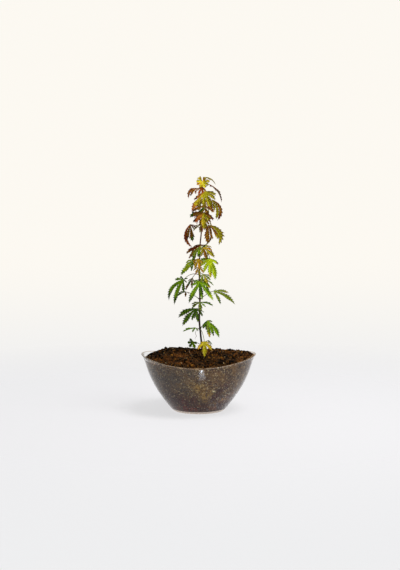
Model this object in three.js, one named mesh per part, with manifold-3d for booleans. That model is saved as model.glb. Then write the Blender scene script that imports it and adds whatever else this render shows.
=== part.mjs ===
// A japanese maple seedling, one slender stem with opposite leaves, growing in a clear glass bowl of
// potting soil. Millimetres, +Z up. The origin is at the middle of the bowl's flat underside, +X runs
// to the bowl's right-hand raised lip, and -Y is the side that the plant is mostly looked at from.
import * as THREE from "three";
import { mergeVertices } from "three/addons/utils/BufferGeometryUtils.js";
import Module from "manifold-3d";

const wasm = await Module();
wasm.setup();

// Bowl: blown glass, round in plan, with a lip that rises at the left and right and dips between them
const LIP_HEIGHT = 85;
const LIP_DIP = 10.5;
const BASE_RADIUS = 38;
const SHOULDER_RADIUS = 82;
const WALL_BULGE = 8.2;
const LIP_FLARE = 3.5;
const FLARE_POWER = 16;
const WALL = 2;
const BASE_THICKNESS = 3.5;
const BOWL_SIDES = 36;
const OUTER_SHARES = [0, 0.08, 0.18, 0.3, 0.44, 0.58, 0.72, 0.86, 0.94, 1];
const INNER_SHARES = [1, 0.93, 0.8, 0.62, 0.44, 0.26, 0.1, 0];

// Soil: fills the bowl to just under its lip and is heaped in the middle. The heap runs out level
// towards the lip's raised ends and falls away evenly to the front and back. Swells in it are pairs of
// place along X and height.
const SOIL_CROWN = 90;
const HEAP_POWER_AT_ENDS = 2.6;
const HEAP_POWER_AT_FRONT = 1.4;
const SOIL_SWELLS = [
  [-48, 4.2],
  [45, -2.4],
];
const SOIL_SWELL_REACH = 24;
const SOIL_BELOW_LIP = 1.5;
const SOIL_SHORT_AT_LEFT = 5;
const SOIL_LUMP = 1;
const SOIL_FOOT_RADIUS = 6;
const SOIL_CLEARANCE = 0.4;
const SOIL_WALL_SHARES = [0, 0.15, 0.32, 0.5, 0.68, 0.84, 0.94, 1];
const SOIL_TOP_SHARES = [0.93, 0.83, 0.7, 0.55, 0.4, 0.25];

// Stem: a thin whip with a slight bend, its foot flared where it leaves the soil
const STEM_FOOT = [5.8, 0, SOIL_CROWN];
const STEM_BENDS = [
  [4.2, 0.4, 102],
  [2.6, 0.2, 118],
  [1.2, -0.6, 133],
  [1.9, -0.2, 165],
  [1.2, 0.5, 201],
  [2.2, 0.2, 245],
  [4.4, -0.4, 270],
  [6.6, 0.2, 310],
  [5.6, 0, 338],
];
const STEM_FOOT_RADIUS = 1.45;
const STEM_TIP_RADIUS = 0.75;
const ROOT_FLARE = 1.1;
const ROOT_FLARE_HEIGHT = 4;
const STEM_SIDES = 8;
const STEM_RINGS = 30;
const STEM_RING_CROWDING = 1.2;

// Leaves: shared sizes. A half width is a share of the lobe's length.
const BLADE_THICKNESS = 0.5;
const BLADE_FOLD = 0.35;
const LOBE_ROOM = 0.9;
const STALK_RADIUS = 0.5;
const STALK_FOOT_SWELL = 1.15;
const STALK_END_TAPER = 0.85;
const STALK_ARCH = 0.18;
const STALK_BEND_SHARE = 0.55;
const STALK_SINK = 0.1;
const STALK_SIDES = 4;
const STALK_STEPS = 4;
const HEEL = 0.9;

// Clear gap between pieces that touch in life
const GAP = 0.3;

// A cut leaf has slim lobes parted almost to the stalk, and a broad one short lobes on a wide web.
// Its profile is pairs of share along the lobe and share of the lobe's half width.
const CUT = {
  web: 0.16,
  halfWidth: 0.08,
  profile: [
    [0.3, 0.65],
    [0.55, 1],
    [0.8, 0.55],
  ],
};
const BROAD = {
  web: 0.42,
  halfWidth: 0.13,
  profile: [
    [0.62, 1],
    [0.82, 0.55],
  ],
};

// A full leaf has short, wide lobes that are joined for more than half their length
const FULL = {
  web: 0.6,
  halfWidth: 0.28,
  profile: [
    [0.72, 1],
    [0.87, 0.55],
  ],
};

// The five lobes of a plain leaf: each one's angle in degrees and its share of the leaf's size
const PLAIN_LOBES = [
  [-80, 0.5],
  [-40, 0.85],
  [0, 1],
  [40, 0.85],
  [80, 0.5],
];

const DOWN = new THREE.Vector3(0, 0, -1);
const UP = new THREE.Vector3(0, 0, 1);
const radians = THREE.MathUtils.degToRad;
const vector = (x, y, z) => new THREE.Vector3(x, y, z);

// A closed surface of rings of points between two end points, each ring wound round +Z or the path.
function closedRings(start, rings, end) {
  const sides = rings[0].length;
  const points = [start, ...rings.flat(), end];
  const index = [];
  const at = (ring, side) => 1 + ring * sides + (side % sides);
  for (let side = 0; side < sides; side++) {
    index.push(0, at(0, side + 1), at(0, side));
    index.push(points.length - 1, at(rings.length - 1, side), at(rings.length - 1, side + 1));
  }
  for (let ring = 0; ring + 1 < rings.length; ring++) {
    for (let side = 0; side < sides; side++) {
      index.push(at(ring, side), at(ring, side + 1), at(ring + 1, side + 1));
      index.push(at(ring, side), at(ring + 1, side + 1), at(ring + 1, side));
    }
  }
  return geometryOf(points, index);
}

function geometryOf(points, index) {
  const geometry = new THREE.BufferGeometry();
  geometry.setAttribute("position", new THREE.Float32BufferAttribute(points.flatMap((p) => p.toArray()), 3));
  geometry.setIndex(index);
  return geometry;
}

function solidOf(geometry) {
  const merged = mergeVertices(geometry, 1e-4);
  return new wasm.Manifold(
    new wasm.Mesh({
      numProp: 3,
      vertProperties: new Float32Array(merged.attributes.position.array),
      triVerts: new Uint32Array(merged.index.array),
    }),
  );
}

function geometryOfSolid(solid) {
  const { numProp, numVert, vertProperties, triVerts } = solid.getMesh();
  const geometry = new THREE.BufferGeometry();
  const positions = new Float32Array(numVert * 3);
  for (let i = 0; i < numVert; i++) {
    positions.set(vertProperties.subarray(i * numProp, i * numProp + 3), i * 3);
  }
  geometry.setAttribute("position", new THREE.BufferAttribute(positions, 3));
  geometry.setIndex(new THREE.BufferAttribute(triVerts, 1));
  return geometry;
}

// The bowl's outer radius at a height: a straight cone, a round bulge on it, and a flare at the lip
function bowlRadius(height) {
  const share = height / LIP_HEIGHT;
  const cone = BASE_RADIUS + (SHOULDER_RADIUS - BASE_RADIUS) * share;
  return cone + 4 * WALL_BULGE * share * (1 - share) + LIP_FLARE * share ** FLARE_POWER;
}

const lipHeight = (angle) => LIP_HEIGHT - LIP_DIP * Math.sin(angle) ** 2;

const polar = (radius, angle, height) => vector(radius * Math.cos(angle), radius * Math.sin(angle), height);

function ringOf(sides, pointAt) {
  return Array.from({ length: sides }, (_, side) => pointAt((side / sides) * 2 * Math.PI, side));
}

function bowlGeometry() {
  const outer = OUTER_SHARES.map((share) =>
    ringOf(BOWL_SIDES, (angle) => {
      const height = share * lipHeight(angle);
      return polar(bowlRadius(height), angle, height);
    }),
  );
  const inner = INNER_SHARES.map((share) =>
    ringOf(BOWL_SIDES, (angle) => {
      const height = BASE_THICKNESS + share * (lipHeight(angle) - BASE_THICKNESS);
      return polar(bowlRadius(height) - WALL, angle, height);
    }),
  );
  return closedRings(vector(0, 0, 0), [...outer, ...inner], vector(0, 0, BASE_THICKNESS));
}

// A repeatable number from -1 to 1 for each pair of whole numbers
function lumpAt(a, b) {
  const wave = Math.sin(a * 127.1 + b * 311.7) * 43758.5453;
  return 2 * (wave - Math.floor(wave)) - 1;
}

// The soil stands lower against the glass at the left, where some of the bowl's lip is left bare
function soilEdgeHeight(angle) {
  const left = Math.max(0, -Math.cos(angle)) ** 3;
  return lipHeight(angle) - SOIL_BELOW_LIP - SOIL_SHORT_AT_LEFT * left;
}

function soilGeometry() {
  const floor = BASE_THICKNESS + SOIL_CLEARANCE;
  const againstGlass = (angle, height) => polar(bowlRadius(height) - WALL - SOIL_CLEARANCE, angle, height);
  const wall = SOIL_WALL_SHARES.map((share) =>
    ringOf(BOWL_SIDES, (angle) => againstGlass(angle, floor + share * (soilEdgeHeight(angle) - floor))),
  );
  const foot = vector(...STEM_FOOT);
  const top = SOIL_TOP_SHARES.map((share, ring) =>
    ringOf(BOWL_SIDES, (angle, side) => {
      const edge = againstGlass(angle, soilEdgeHeight(angle));
      const point = foot.clone().lerp(edge, share);
      const power = THREE.MathUtils.lerp(HEAP_POWER_AT_ENDS, HEAP_POWER_AT_FRONT, Math.sin(angle) ** 2);
      const swell = SOIL_SWELLS.reduce((sum, [x, height]) => {
        const away = Math.hypot(point.x - x, point.y * 0.6) / SOIL_SWELL_REACH;
        return sum + height * Math.exp(-away * away) * (1 - share ** 8);
      }, 0);
      point.z = edge.z + (SOIL_CROWN - edge.z) * (1 - share ** power) + swell;
      point.z += SOIL_LUMP * lumpAt(ring, side);
      return point;
    }),
  );
  const pad = ringOf(BOWL_SIDES, (angle) => polar(SOIL_FOOT_RADIUS, angle, 0).add(foot));
  return closedRings(vector(0, 0, floor), [...wall, ...top, pad], foot);
}

const stemCurve = new THREE.CatmullRomCurve3([vector(...STEM_FOOT), ...STEM_BENDS.map((p) => vector(...p))]);
const STEM_LENGTH = stemCurve.getLength();

// The stem's middle and radius at a height above the soil
function stemAt(height) {
  const share = THREE.MathUtils.clamp(height / STEM_LENGTH, 0, 1);
  const taper = THREE.MathUtils.lerp(STEM_FOOT_RADIUS, STEM_TIP_RADIUS, share);
  const flare = ROOT_FLARE * Math.exp(-height / ROOT_FLARE_HEIGHT);
  const middle = stemCurve.getPointAt(share);
  return { middle, along: stemCurve.getTangentAt(share), radius: taper + flare };
}

// A ring of points round a path, square to it
function ringRound(middle, along, radius, sides) {
  const across = Math.abs(along.z) > 0.9 ? vector(1, 0, 0) : UP.clone();
  const first = across.sub(along.clone().multiplyScalar(across.dot(along))).normalize();
  const second = along.clone().cross(first);
  return ringOf(sides, (angle) =>
    middle
      .clone()
      .addScaledVector(first, radius * Math.cos(angle))
      .addScaledVector(second, radius * Math.sin(angle)),
  );
}

function stemGeometry() {
  const rings = Array.from({ length: STEM_RINGS }, (_, ring) => {
    const height = STEM_LENGTH * (ring / (STEM_RINGS - 1)) ** STEM_RING_CROWDING;
    const { middle, along, radius } = stemAt(height);
    return ringRound(middle, ring === 0 ? UP : along, radius, STEM_SIDES);
  });
  const geometry = closedRings(vector(...STEM_FOOT), rings, stemAt(STEM_LENGTH).middle.clone());
  return geometry.translate(0, 0, GAP);
}

// A leaf's flat plane before it droops: the way it faces, the way down its slope, and to one side
function bladePlane(facing, tilt) {
  const [f, t] = [radians(facing), radians(tilt)];
  const normal = vector(Math.sin(t) * Math.cos(f), Math.sin(t) * Math.sin(f), Math.cos(t));
  const slope = vector(Math.cos(t) * Math.cos(f), Math.cos(t) * Math.sin(f), -Math.sin(t));
  return { normal, slope, side: normal.clone().cross(slope) };
}

// The way that a lobe at this angle leaves the hub
function headingIn(plane, angle) {
  const ahead = plane.slope.clone().multiplyScalar(Math.cos(angle));
  return ahead.addScaledVector(plane.side, Math.sin(angle));
}

// One lobe's midrib. It leaves the hub in the blade's plane and turns towards straight down along an
// arc: droop 1 ends it straight down, and more curls it back underneath.
function midrib(hub, plane, angle, length, droop) {
  const along = headingIn(plane, angle);
  const turn = Math.max(1e-4, droop * along.angleTo(DOWN));
  const axis = along.clone().cross(DOWN);
  if (axis.length() < 0.02) axis.copy(plane.normal).cross(along);
  axis.normalize();
  const inward = axis.clone().cross(along);
  const across = plane.normal.clone().cross(along);
  return (share) => ({
    point: hub
      .clone()
      .addScaledVector(along, (length * Math.sin(turn * share)) / turn)
      .addScaledVector(inward, (length * (1 - Math.cos(turn * share))) / turn),
    across: across.clone().applyAxisAngle(axis, turn * share),
    normal: plane.normal.clone().applyAxisAngle(axis, turn * share),
  });
}

// How far the edge of lobe k can stand out on one side before it meets the lobe beside it
function roomBeside(ribs, k, share, way) {
  const { point, across } = ribs[k](share);
  const gaps = ribs.flatMap((rib, j) =>
    j === k ? [] : Array.from({ length: 24 }, (_, step) => rib((step + 1) / 24).point.sub(point)),
  );
  const beside = gaps.filter((gap) => gap.dot(across) * way > 0);
  return Math.min(...beside.map((gap) => gap.length() / 2));
}

// The blade: lobes fanned round the hub and joined by a web. It is a thin sheet, folded up a little
// along each midrib, with an upper and a lower skin and an edge between them.
function bladeGeometry({ hub, facing, tilt, lobes, cut }) {
  const plane = bladePlane(facing, tilt);
  const ribs = lobes.map(({ angle, length, droop }) => midrib(hub, plane, radians(angle), length, droop));
  const upper = [];
  const lower = [];
  const faces = [];
  const outline = [];
  const add = ({ point, normal }) => {
    upper.push(point.clone().addScaledVector(normal, BLADE_THICKNESS / 2));
    lower.push(point.clone().addScaledVector(normal, -BLADE_THICKNESS / 2));
    return upper.length - 1;
  };
  const ahead = headingIn(plane, radians((lobes[0].angle + lobes.at(-1).angle) / 2));
  const hubIndex = add({ point: hub, normal: plane.normal });
  const heel = add({ point: hub.clone().addScaledVector(ahead, -HEEL), normal: plane.normal });
  const notches = lobes.slice(1).map((lobe, k) => {
    const reach = cut.web * Math.min(lobes[k].length, lobe.length);
    const [a, b] = [ribs[k](reach / lobes[k].length), ribs[k + 1](reach / lobe.length)];
    return add({ point: a.point.lerp(b.point, 0.5), normal: a.normal.add(b.normal).normalize() });
  });
  lobes.forEach(({ length, width }, k) => {
    const half = length * cut.halfWidth * width;
    let [mid, near, far] = [hubIndex, notches[k - 1] ?? heel, notches[k] ?? heel];
    const nearEdge = [near];
    const farEdge = [far];
    for (const [share, wide] of cut.profile) {
      const { point, across, normal } = ribs[k](share);
      const edge = (way) => {
        const out = Math.min(half * wide, LOBE_ROOM * roomBeside(ribs, k, share, way));
        const side = point.clone().addScaledVector(across, way * out);
        return { point: side.addScaledVector(normal, out * BLADE_FOLD), normal };
      };
      const [m, n, f] = [add({ point, normal }), add(edge(-1)), add(edge(1))];
      faces.push([mid, m, f], [mid, f, far], [mid, near, n], [mid, n, m]);
      [mid, near, far] = [m, n, f];
      nearEdge.push(n);
      farEdge.push(f);
    }
    const tip = add(ribs[k](1));
    faces.push([mid, tip, far], [mid, near, tip]);
    outline.push(...nearEdge, tip, ...farEdge.reverse().slice(0, -1));
  });
  const lowered = upper.length;
  const index = faces.flatMap(([a, b, c]) => [a, b, c, a + lowered, c + lowered, b + lowered]);
  outline.forEach((p, i) => {
    const q = outline[(i + 1) % outline.length];
    index.push(p, p + lowered, q + lowered, p, q + lowered, q);
  });
  return geometryOf([...upper, ...lower], index);
}

// The leaf's stalk arches from just clear of the stem to the hub and ends inside the blade
function stalkGeometry({ stem, away, hub, arch, facing, tilt }) {
  const { normal } = bladePlane(facing, tilt);
  const bend = stem.middle.clone().lerp(hub, STALK_BEND_SHARE).addScaledVector(UP, arch);
  const foot = STALK_RADIUS * STALK_FOOT_SWELL;
  const surface = stem.middle.clone().addScaledVector(away, stem.radius + GAP);
  const heading = bend.clone().sub(surface).normalize();
  const start = surface.addScaledVector(away, foot * heading.cross(away).length());
  const end = hub.clone().addScaledVector(normal, -STALK_SINK);
  const curve = new THREE.QuadraticBezierCurve3(start, bend, end);
  const rings = Array.from({ length: STALK_STEPS + 1 }, (_, step) => {
    const share = step / STALK_STEPS;
    const radius = THREE.MathUtils.lerp(foot, STALK_RADIUS * STALK_END_TAPER, share);
    return ringRound(curve.getPoint(share), curve.getTangent(share), radius, STALK_SIDES);
  });
  return closedRings(curve.getPoint(0), rings, curve.getPoint(1));
}

// A leaf that stands on the stem at a height above the soil. toward is the way its stalk goes, out and
// up take the hub away from the stem, and facing and tilt are the way its blade looks and slopes. Each
// lobe is an angle, a length, and where they differ from the leaf's own, a droop and a width.
function leafGeometry(leaf) {
  const { at, toward, out, up, facing = toward, tilt = 20, arch = STALK_ARCH * out } = leaf;
  const { droop = 0.4, cut = CUT } = leaf;
  const stem = stemAt(at);
  const away = polar(1, radians(toward), 0);
  const hub = stem.middle.clone().addScaledVector(away, out).addScaledVector(UP, up);
  const sizes = leaf.lobes ?? PLAIN_LOBES.map(([angle, share]) => [angle, share * leaf.size]);
  const lobes = sizes.map(([angle, length, ownDroop = droop, width = 1]) => ({
    angle,
    length,
    droop: ownDroop,
    width,
  }));
  const whole = { stem, away, hub, facing, tilt, arch, lobes, cut };
  return geometryOfSolid(solidOf(bladeGeometry(whole)).add(solidOf(stalkGeometry(whole))));
}

// The leaves, from the foot of the stem to its tip
const LEAVES = {
  foot_left: {
    at: 7, toward: 178, out: 13.5, up: 5.2, facing: -95, tilt: 72, cut: FULL, tint: "green",
    lobes: [[-150, 7], [-92, 9], [-35, 9], [22, 9.5], [80, 8]],
  },
  foot_back: { at: 8, toward: 40, out: 13, up: 5, tilt: 50, size: 10, tint: "green" },
  tier2_yellow: {
    at: 31, toward: -79, out: 33, up: -14, arch: 9, facing: -90, tilt: 46, droop: 0.1, cut: BROAD,
    tint: "yellow",
    lobes: [[-74, 7], [-37, 17.5, 0.1, 1.2], [0, 28, 0.1, 1.05], [37, 19, 0.1, 1.2], [74, 9]],
  },
  tier2_right: {
    at: 32, toward: -36, out: 13.4, up: 13, facing: -75, tilt: 66, droop: 0.4, cut: BROAD, tint: "green",
    lobes: [[-40, 14, 0.4, 1.3], [4, 26, 0.4, 0.9], [22, 25, 0.4, 0.8], [39, 31, 0.4, 0.8], [95, 8]],
  },
  tier2_left: {
    at: 31, toward: 185, out: 6.5, up: 2, facing: -90, tilt: 15, tint: "green",
    lobes: [[-150, 8], [-84, 20, 0.3, 1.2], [-30, 11], [30, 8]],
  },
  tier2_back: { at: 33, toward: 50, out: 16, up: 5, tilt: 35, size: 22, tint: "green" },
  tier3_left: {
    at: 59, toward: -102, out: 22.5, up: 5.6, facing: -100, tilt: 62, droop: 0.3, tint: "dark",
    lobes: [[-84, 31, 0.5, 1.3], [-50, 33, 0.55, 1.4], [-20, 19, 0.4, 1.3], [13, 22, 0.3, 1.3], [50, 15]],
  },
  tier3_back: { at: 60, toward: 105, out: 14, up: -1, tilt: 30, size: 24, tint: "dark" },
  tier4_front: {
    at: 70, toward: -90, out: 14, up: 2.9, facing: -90, tilt: 25, tint: "olive",
    lobes: [[-100, 12], [-50, 16], [6, 18], [52, 9], [96, 21, 0.4, 1.7]],
  },
  tier5_left: {
    at: 76, toward: 170, out: 21.5, up: 11, facing: -100, tilt: 20, tint: "bronze",
    lobes: [[-110, 13], [-55, 18], [8, 12], [70, 6]],
  },
  tier5_right: {
    at: 76, toward: 2, out: 21, up: 12.6, facing: -70, tilt: 48, droop: 0.35, tint: "green",
    lobes: [[-10, 7], [17, 24, 0.35, 1.2], [62, 38, 0.35, 1.15], [100, 26, 0.35, 1.2], [138, 7]],
  },
  tier6_front: {
    at: 100, toward: -90, out: 25, up: 4.3, facing: -90, tilt: 68, droop: 0.25, cut: BROAD, tint: "green",
    lobes: [
      [-114, 10], [-74, 13], [-29, 36, 0.2, 0.8], [10, 28, 0.25, 0.8], [41, 35, 0.25, 0.7],
      [76, 19, 0.4, 0.9],
    ],
  },
  tier6_left: {
    at: 99, toward: 152, out: 13.4, up: 4.3, facing: -110, tilt: 60, tint: "bronze",
    lobes: [[-75, 6], [-32, 17, 0.4, 1.3], [5, 7], [45, 5]],
  },
  tier6_back: { at: 102, toward: 75, out: 15, up: 3, tilt: 15, size: 28, tint: "green" },
  tier7_left: {
    at: 113, toward: 204, out: 25.8, up: -7, arch: 9, facing: -112, tilt: 70, cut: BROAD, tint: "dark",
    lobes: [
      [-150, 10], [-112, 15], [-70, 41, 1, 0.65], [-32, 40, 0.9, 0.75], [10, 18, 0.4, 0.9], [70, 7],
      [140, 7],
    ],
  },
  tier7_right: {
    at: 113, toward: -70, out: 17, up: 1.6, facing: -80, tilt: 45, tint: "olive",
    lobes: [[-60, 8], [-22, 14, 0.4, 1.2], [15, 17, 0.4, 1.3], [52, 14, 0.4, 1.2], [90, 12]],
  },
  tier7_mid: {
    at: 118, toward: -146, out: 12.6, up: -9.5, arch: 4, facing: -100, tilt: 66, tint: "dark",
    lobes: [[-66, 8], [-32, 14, 0.4, 1.3], [2, 16, 0.4, 1.3], [36, 11]],
  },
  tier7_low: {
    at: 110, toward: -60, out: 13.8, up: -6.1, arch: 4, facing: -80, tilt: 66, tint: "dark",
    lobes: [[-38, 12], [-4, 15, 0.4, 1.3], [28, 16, 0.4, 1.3], [62, 11]],
  },
  tier8_left: {
    at: 116, toward: 150, out: 9.8, up: 13.6, facing: -95, tilt: 58, tint: "green",
    lobes: [[-118, 15, 0.8, 1.3], [-55, 27, 0.4, 1.3], [-18, 11], [26, 8]],
  },
  tier8_low: {
    at: 122, toward: -94, out: 14, up: 3.7, facing: -92, tilt: 68, tint: "olive",
    lobes: [[-70, 10], [-28, 13, 0.4, 1.5], [10, 14.5, 0.4, 1.5], [46, 12, 0.4, 1.4], [84, 7]],
  },
  tier8_front: {
    at: 130, toward: -96, out: 18, up: 8, facing: -95, tilt: 65, cut: BROAD, tint: "tan",
    lobes: [[-62, 10], [-22, 16], [15, 17], [52, 11]],
  },
  tier8_upper: {
    at: 133, toward: -142, out: 11.4, up: 2.5, facing: -105, tilt: 58, tint: "green",
    lobes: [[-88, 13, 0.5, 1.2], [-54, 17, 0.4, 1.3], [-18, 13, 0.4, 1.2], [22, 9]],
  },
  tier8_back: { at: 131, toward: 65, out: 15, up: 3, tilt: 20, size: 26, tint: "lime" },
  tier9_right: {
    at: 156, toward: -36, out: 18, up: -18.6, arch: 14, facing: -90, tilt: 75, droop: 0.2, cut: BROAD,
    tint: "lime",
    lobes: [
      [-92, 14, 0.1, 0.9], [-60, 18, 0.3, 0.9], [-28, 23, 0.2, 0.85], [2, 29, 0.2, 0.85],
      [30, 33, 1.1, 0.8], [62, 15],
    ],
  },
  tier9_front: {
    at: 155, toward: -89, out: 22, up: 1.7, facing: -90, tilt: 60, tint: "dark",
    lobes: [[-110, 9], [-78, 24, 0.45], [-46, 26, 0.9, 1.2], [-12, 16], [26, 12], [62, 8]],
  },
  tier9_low: {
    at: 149, toward: -70, out: 16, up: 4.8, facing: -86, tilt: 66, tint: "bronze",
    lobes: [[-64, 9], [-24, 14, 0.4, 1.4], [16, 19, 0.4, 1.4], [52, 22, 0.2, 1.5], [92, 13]],
  },
  tier9_left: {
    at: 149, toward: -119, out: 10.3, up: 4.3, facing: -98, tilt: 66, tint: "maroon",
    lobes: [[-80, 17, 0.5, 1.2], [-38, 20, 0.3, 1.2], [-10, 19, 0.4, 1.3], [28, 10]],
  },
  tier9_back: { at: 157, toward: 92, out: 13, up: 0, tilt: 25, size: 22, tint: "olive" },
  tier10_left: {
    at: 181, toward: 204, out: 18.2, up: 6.7, facing: -108, tilt: 70, tint: "maroon",
    lobes: [[-37, 38, 2.3], [-10, 24, 0.1, 1.6], [15, 27, 0.1, 1.7], [50, 11], [78, 12]],
  },
  tier10_right: {
    at: 181, toward: 27, out: 12, up: 5.2, facing: -72, tilt: 72, tint: "bronze",
    lobes: [
      [-12, 28, 0.4, 1.7], [14, 19, 0.4, 1.4], [36, 38, 2.8, 0.4], [50, 25, 0.7, 1.6], [72, 37, 1.25, 1.6],
    ],
  },
  tier10_back: { at: 182, toward: 95, out: 13, up: 5, tilt: 25, size: 22, tint: "olive" },
  tier11_front: {
    at: 198, toward: -87, out: 22, up: 7.7, facing: -90, tilt: 62, droop: 0.2, cut: BROAD, tint: "amber",
    lobes: [[-84, 21, 0.3, 1.3], [-42, 20], [2, 27], [40, 19], [70, 19, 0.5]],
  },
  tier11_low: {
    at: 190, toward: -87, out: 12, up: 10.5, facing: -90, tilt: 64, tint: "red",
    lobes: [[-66, 17, 0.3, 1.4], [-20, 16, 0.4, 1.4], [18, 25, 0.3, 1.3], [44, 17, 0.4, 1.4]],
  },
  tier11_back: { at: 199, toward: 88, out: 12, up: 6, tilt: 30, cut: BROAD, size: 22, tint: "olive" },
  tier12_front: {
    at: 226, toward: -82, out: 20, up: 10.5, facing: -90, tilt: 66, droop: 0.15, cut: BROAD, tint: "amber",
    lobes: [[-60, 21, 0.3, 0.7], [-35, 37, 0.15, 0.8], [-8, 24], [21, 34], [54, 20], [84, 17, 0.3, 1.2]],
  },
  tier12_low: {
    at: 212, toward: -84, out: 15.1, up: 2.7, facing: -90, tilt: 70, droop: 0.3, tint: "bronze",
    lobes: [
      [-76, 20, 0.3, 1.3], [-40, 16, 0.3, 1.5], [-4, 8, 0.3, 1.4], [34, 16, 0.3, 1.4], [70, 18, 0.3, 1.3],
    ],
  },
  tier12_right: {
    at: 218, toward: 32, out: 16.8, up: 5.6, facing: -66, tilt: 68, tint: "olive",
    lobes: [[-30, 10], [2, 16, 0.4, 1.3], [34, 30, 1.5, 1.9], [62, 36, 1.6, 1]],
  },
  tier12_back: { at: 219, toward: 105, out: 11, up: 5, tilt: 40, cut: BROAD, size: 22, tint: "amber" },
  tier13_left: {
    at: 239, toward: 150, out: 9.9, up: 1.8, facing: -108, tilt: 66, tint: "red",
    lobes: [[-90, 22, 1.1, 1.35], [-54, 15, 0.6, 1.4], [-6, 9]],
  },
  tier13_front: {
    at: 238, toward: -98, out: 10.5, up: 4.9, facing: -96, tilt: 70, cut: BROAD, tint: "red",
    lobes: [[-66, 9], [-26, 13], [14, 13], [54, 10]],
  },
  tier13_right: {
    at: 239, toward: 0, out: 10, up: 7.8, facing: 5, tilt: 28, tint: "maroon",
    lobes: [[-75, 10], [-38, 18], [0, 33, 0.9, 1.5], [38, 18], [75, 10]],
  },
  tip_front: {
    at: 246, toward: -90, out: 7, up: 4.2, facing: -90, tilt: 55, droop: 0.1, cut: FULL, tint: "yellow",
    lobes: [[-150, 11], [-105, 9.5], [-64, 9.5], [-20, 10], [22, 11], [62, 10], [104, 11], [150, 9]],
  },
  tip_back: {
    at: 247, toward: 60, out: 3, up: 10.5, facing: 0, tilt: 0, tint: "olive",
    lobes: [[-70, 13, 0.4, 1.3], [-32, 16, 0.4, 1.3], [5, 22, 0.7], [42, 15, 0.4, 1.3], [80, 12, 0.4, 1.3]],
  },
};

const TINTS = {
  green: 0x4f7a22,
  dark: 0x2f5222,
  lime: 0x8fb02a,
  yellow: 0xc3bd3c,
  olive: 0x7d7d22,
  amber: 0x9c8324,
  tan: 0xa8803c,
  bronze: 0x6b4a1f,
  red: 0x9a4620,
  maroon: 0x4a2418,
};

const leafMaterial = (tint) => new THREE.MeshStandardMaterial({ color: TINTS[tint], roughness: 0.55 });
const glass = new THREE.MeshStandardMaterial({ color: 0xe6efe9, roughness: 0.05 });
glass.transparent = true;
glass.opacity = 0.3;
const soil = new THREE.MeshStandardMaterial({ color: 0x2e2013, roughness: 0.95 });
const bark = new THREE.MeshStandardMaterial({ color: 0x3b2c22, roughness: 0.8 });

const plant = new THREE.Group();

function place(name, geometry, material) {
  const mesh = new THREE.Mesh(geometry, material);
  mesh.name = name;
  plant.add(mesh);
}

place("glass_bowl", bowlGeometry(), glass);
place("soil", soilGeometry(), soil);
place("stem", stemGeometry(), bark);
for (const [name, leaf] of Object.entries(LEAVES)) {
  place(`leaf_${name}`, leafGeometry(leaf), leafMaterial(leaf.tint));
}

export default plant;
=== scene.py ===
import math
import random

import bmesh
import bpy
import numpy as np
from mathutils import Matrix, Vector


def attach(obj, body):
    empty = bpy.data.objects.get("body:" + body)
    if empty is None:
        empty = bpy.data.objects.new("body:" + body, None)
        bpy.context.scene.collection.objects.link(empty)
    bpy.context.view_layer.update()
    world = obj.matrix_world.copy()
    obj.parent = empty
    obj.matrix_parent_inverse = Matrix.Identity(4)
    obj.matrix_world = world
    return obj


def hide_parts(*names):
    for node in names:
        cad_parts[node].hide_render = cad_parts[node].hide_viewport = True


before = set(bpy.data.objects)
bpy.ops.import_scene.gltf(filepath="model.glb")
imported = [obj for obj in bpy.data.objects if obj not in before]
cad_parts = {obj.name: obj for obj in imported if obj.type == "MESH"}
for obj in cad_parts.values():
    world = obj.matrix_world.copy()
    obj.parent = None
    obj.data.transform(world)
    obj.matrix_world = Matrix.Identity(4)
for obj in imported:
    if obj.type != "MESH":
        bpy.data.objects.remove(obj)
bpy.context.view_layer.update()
MM = 0.001


# The bowl: clear blown glass, a thin wall on a thick foot, its lip melted round. The wall is drawn up
# ring by ring from the foot, over the lip and down inside, and then the lip is let down at the front
# and back, so that it rises to an end at the left and right.
LIP_HEIGHT = 0.085
LIP_DIP = 0.0105
BASE_RADIUS = 0.038
SHOULDER_RADIUS = 0.082
WALL_BULGE = 0.0082
LIP_FLARE = 0.0035
FLARE_POWER = 16
WALL = 0.002
WALL_STARTS_AT = 0.0038
INSIDE_STARTS_AT = 0.006
BASE_THICKNESS = 0.0035
FOOT_ENDS_AT = 0.005
LIP_BAND = 0.0008
PAINTED_GLOW_RIM_HEIGHT = 0.0034
PAINTED_GLOW_RIM_RADIUS = 0.0355
BOWL_SIDES = 160
WALL_RINGS = 36
LIP_RINGS = 8
FOOT_RINGS = [(0.003, 0.0009), (0.015, 0.0009), (0.027, 0.0008), (0.0305, 0.0005), (0.032, 0.0001),
              (0.033, 0), (0.0362, 0), (0.0374, 0.0003), (0.0382, 0.0011), (0.0402, 0.0025)]
FLOOR_RINGS = [(0.0362, 0.0047), (0.0345, 0.0038), (0.030, 0.0035), (0.015, 0.0035), (0.003, 0.0035)]


def bowl_radius(height):
    share = height / LIP_HEIGHT
    cone = BASE_RADIUS + (SHOULDER_RADIUS - BASE_RADIUS) * share
    return cone + 4 * WALL_BULGE * share * (1 - share) + LIP_FLARE * share**FLARE_POWER


def lip_height(angle):
    return LIP_HEIGHT - LIP_DIP * math.sin(angle) ** 2


def on_circle(angle, radius, height):
    return Vector((radius * math.cos(angle), radius * math.sin(angle), height))


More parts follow.
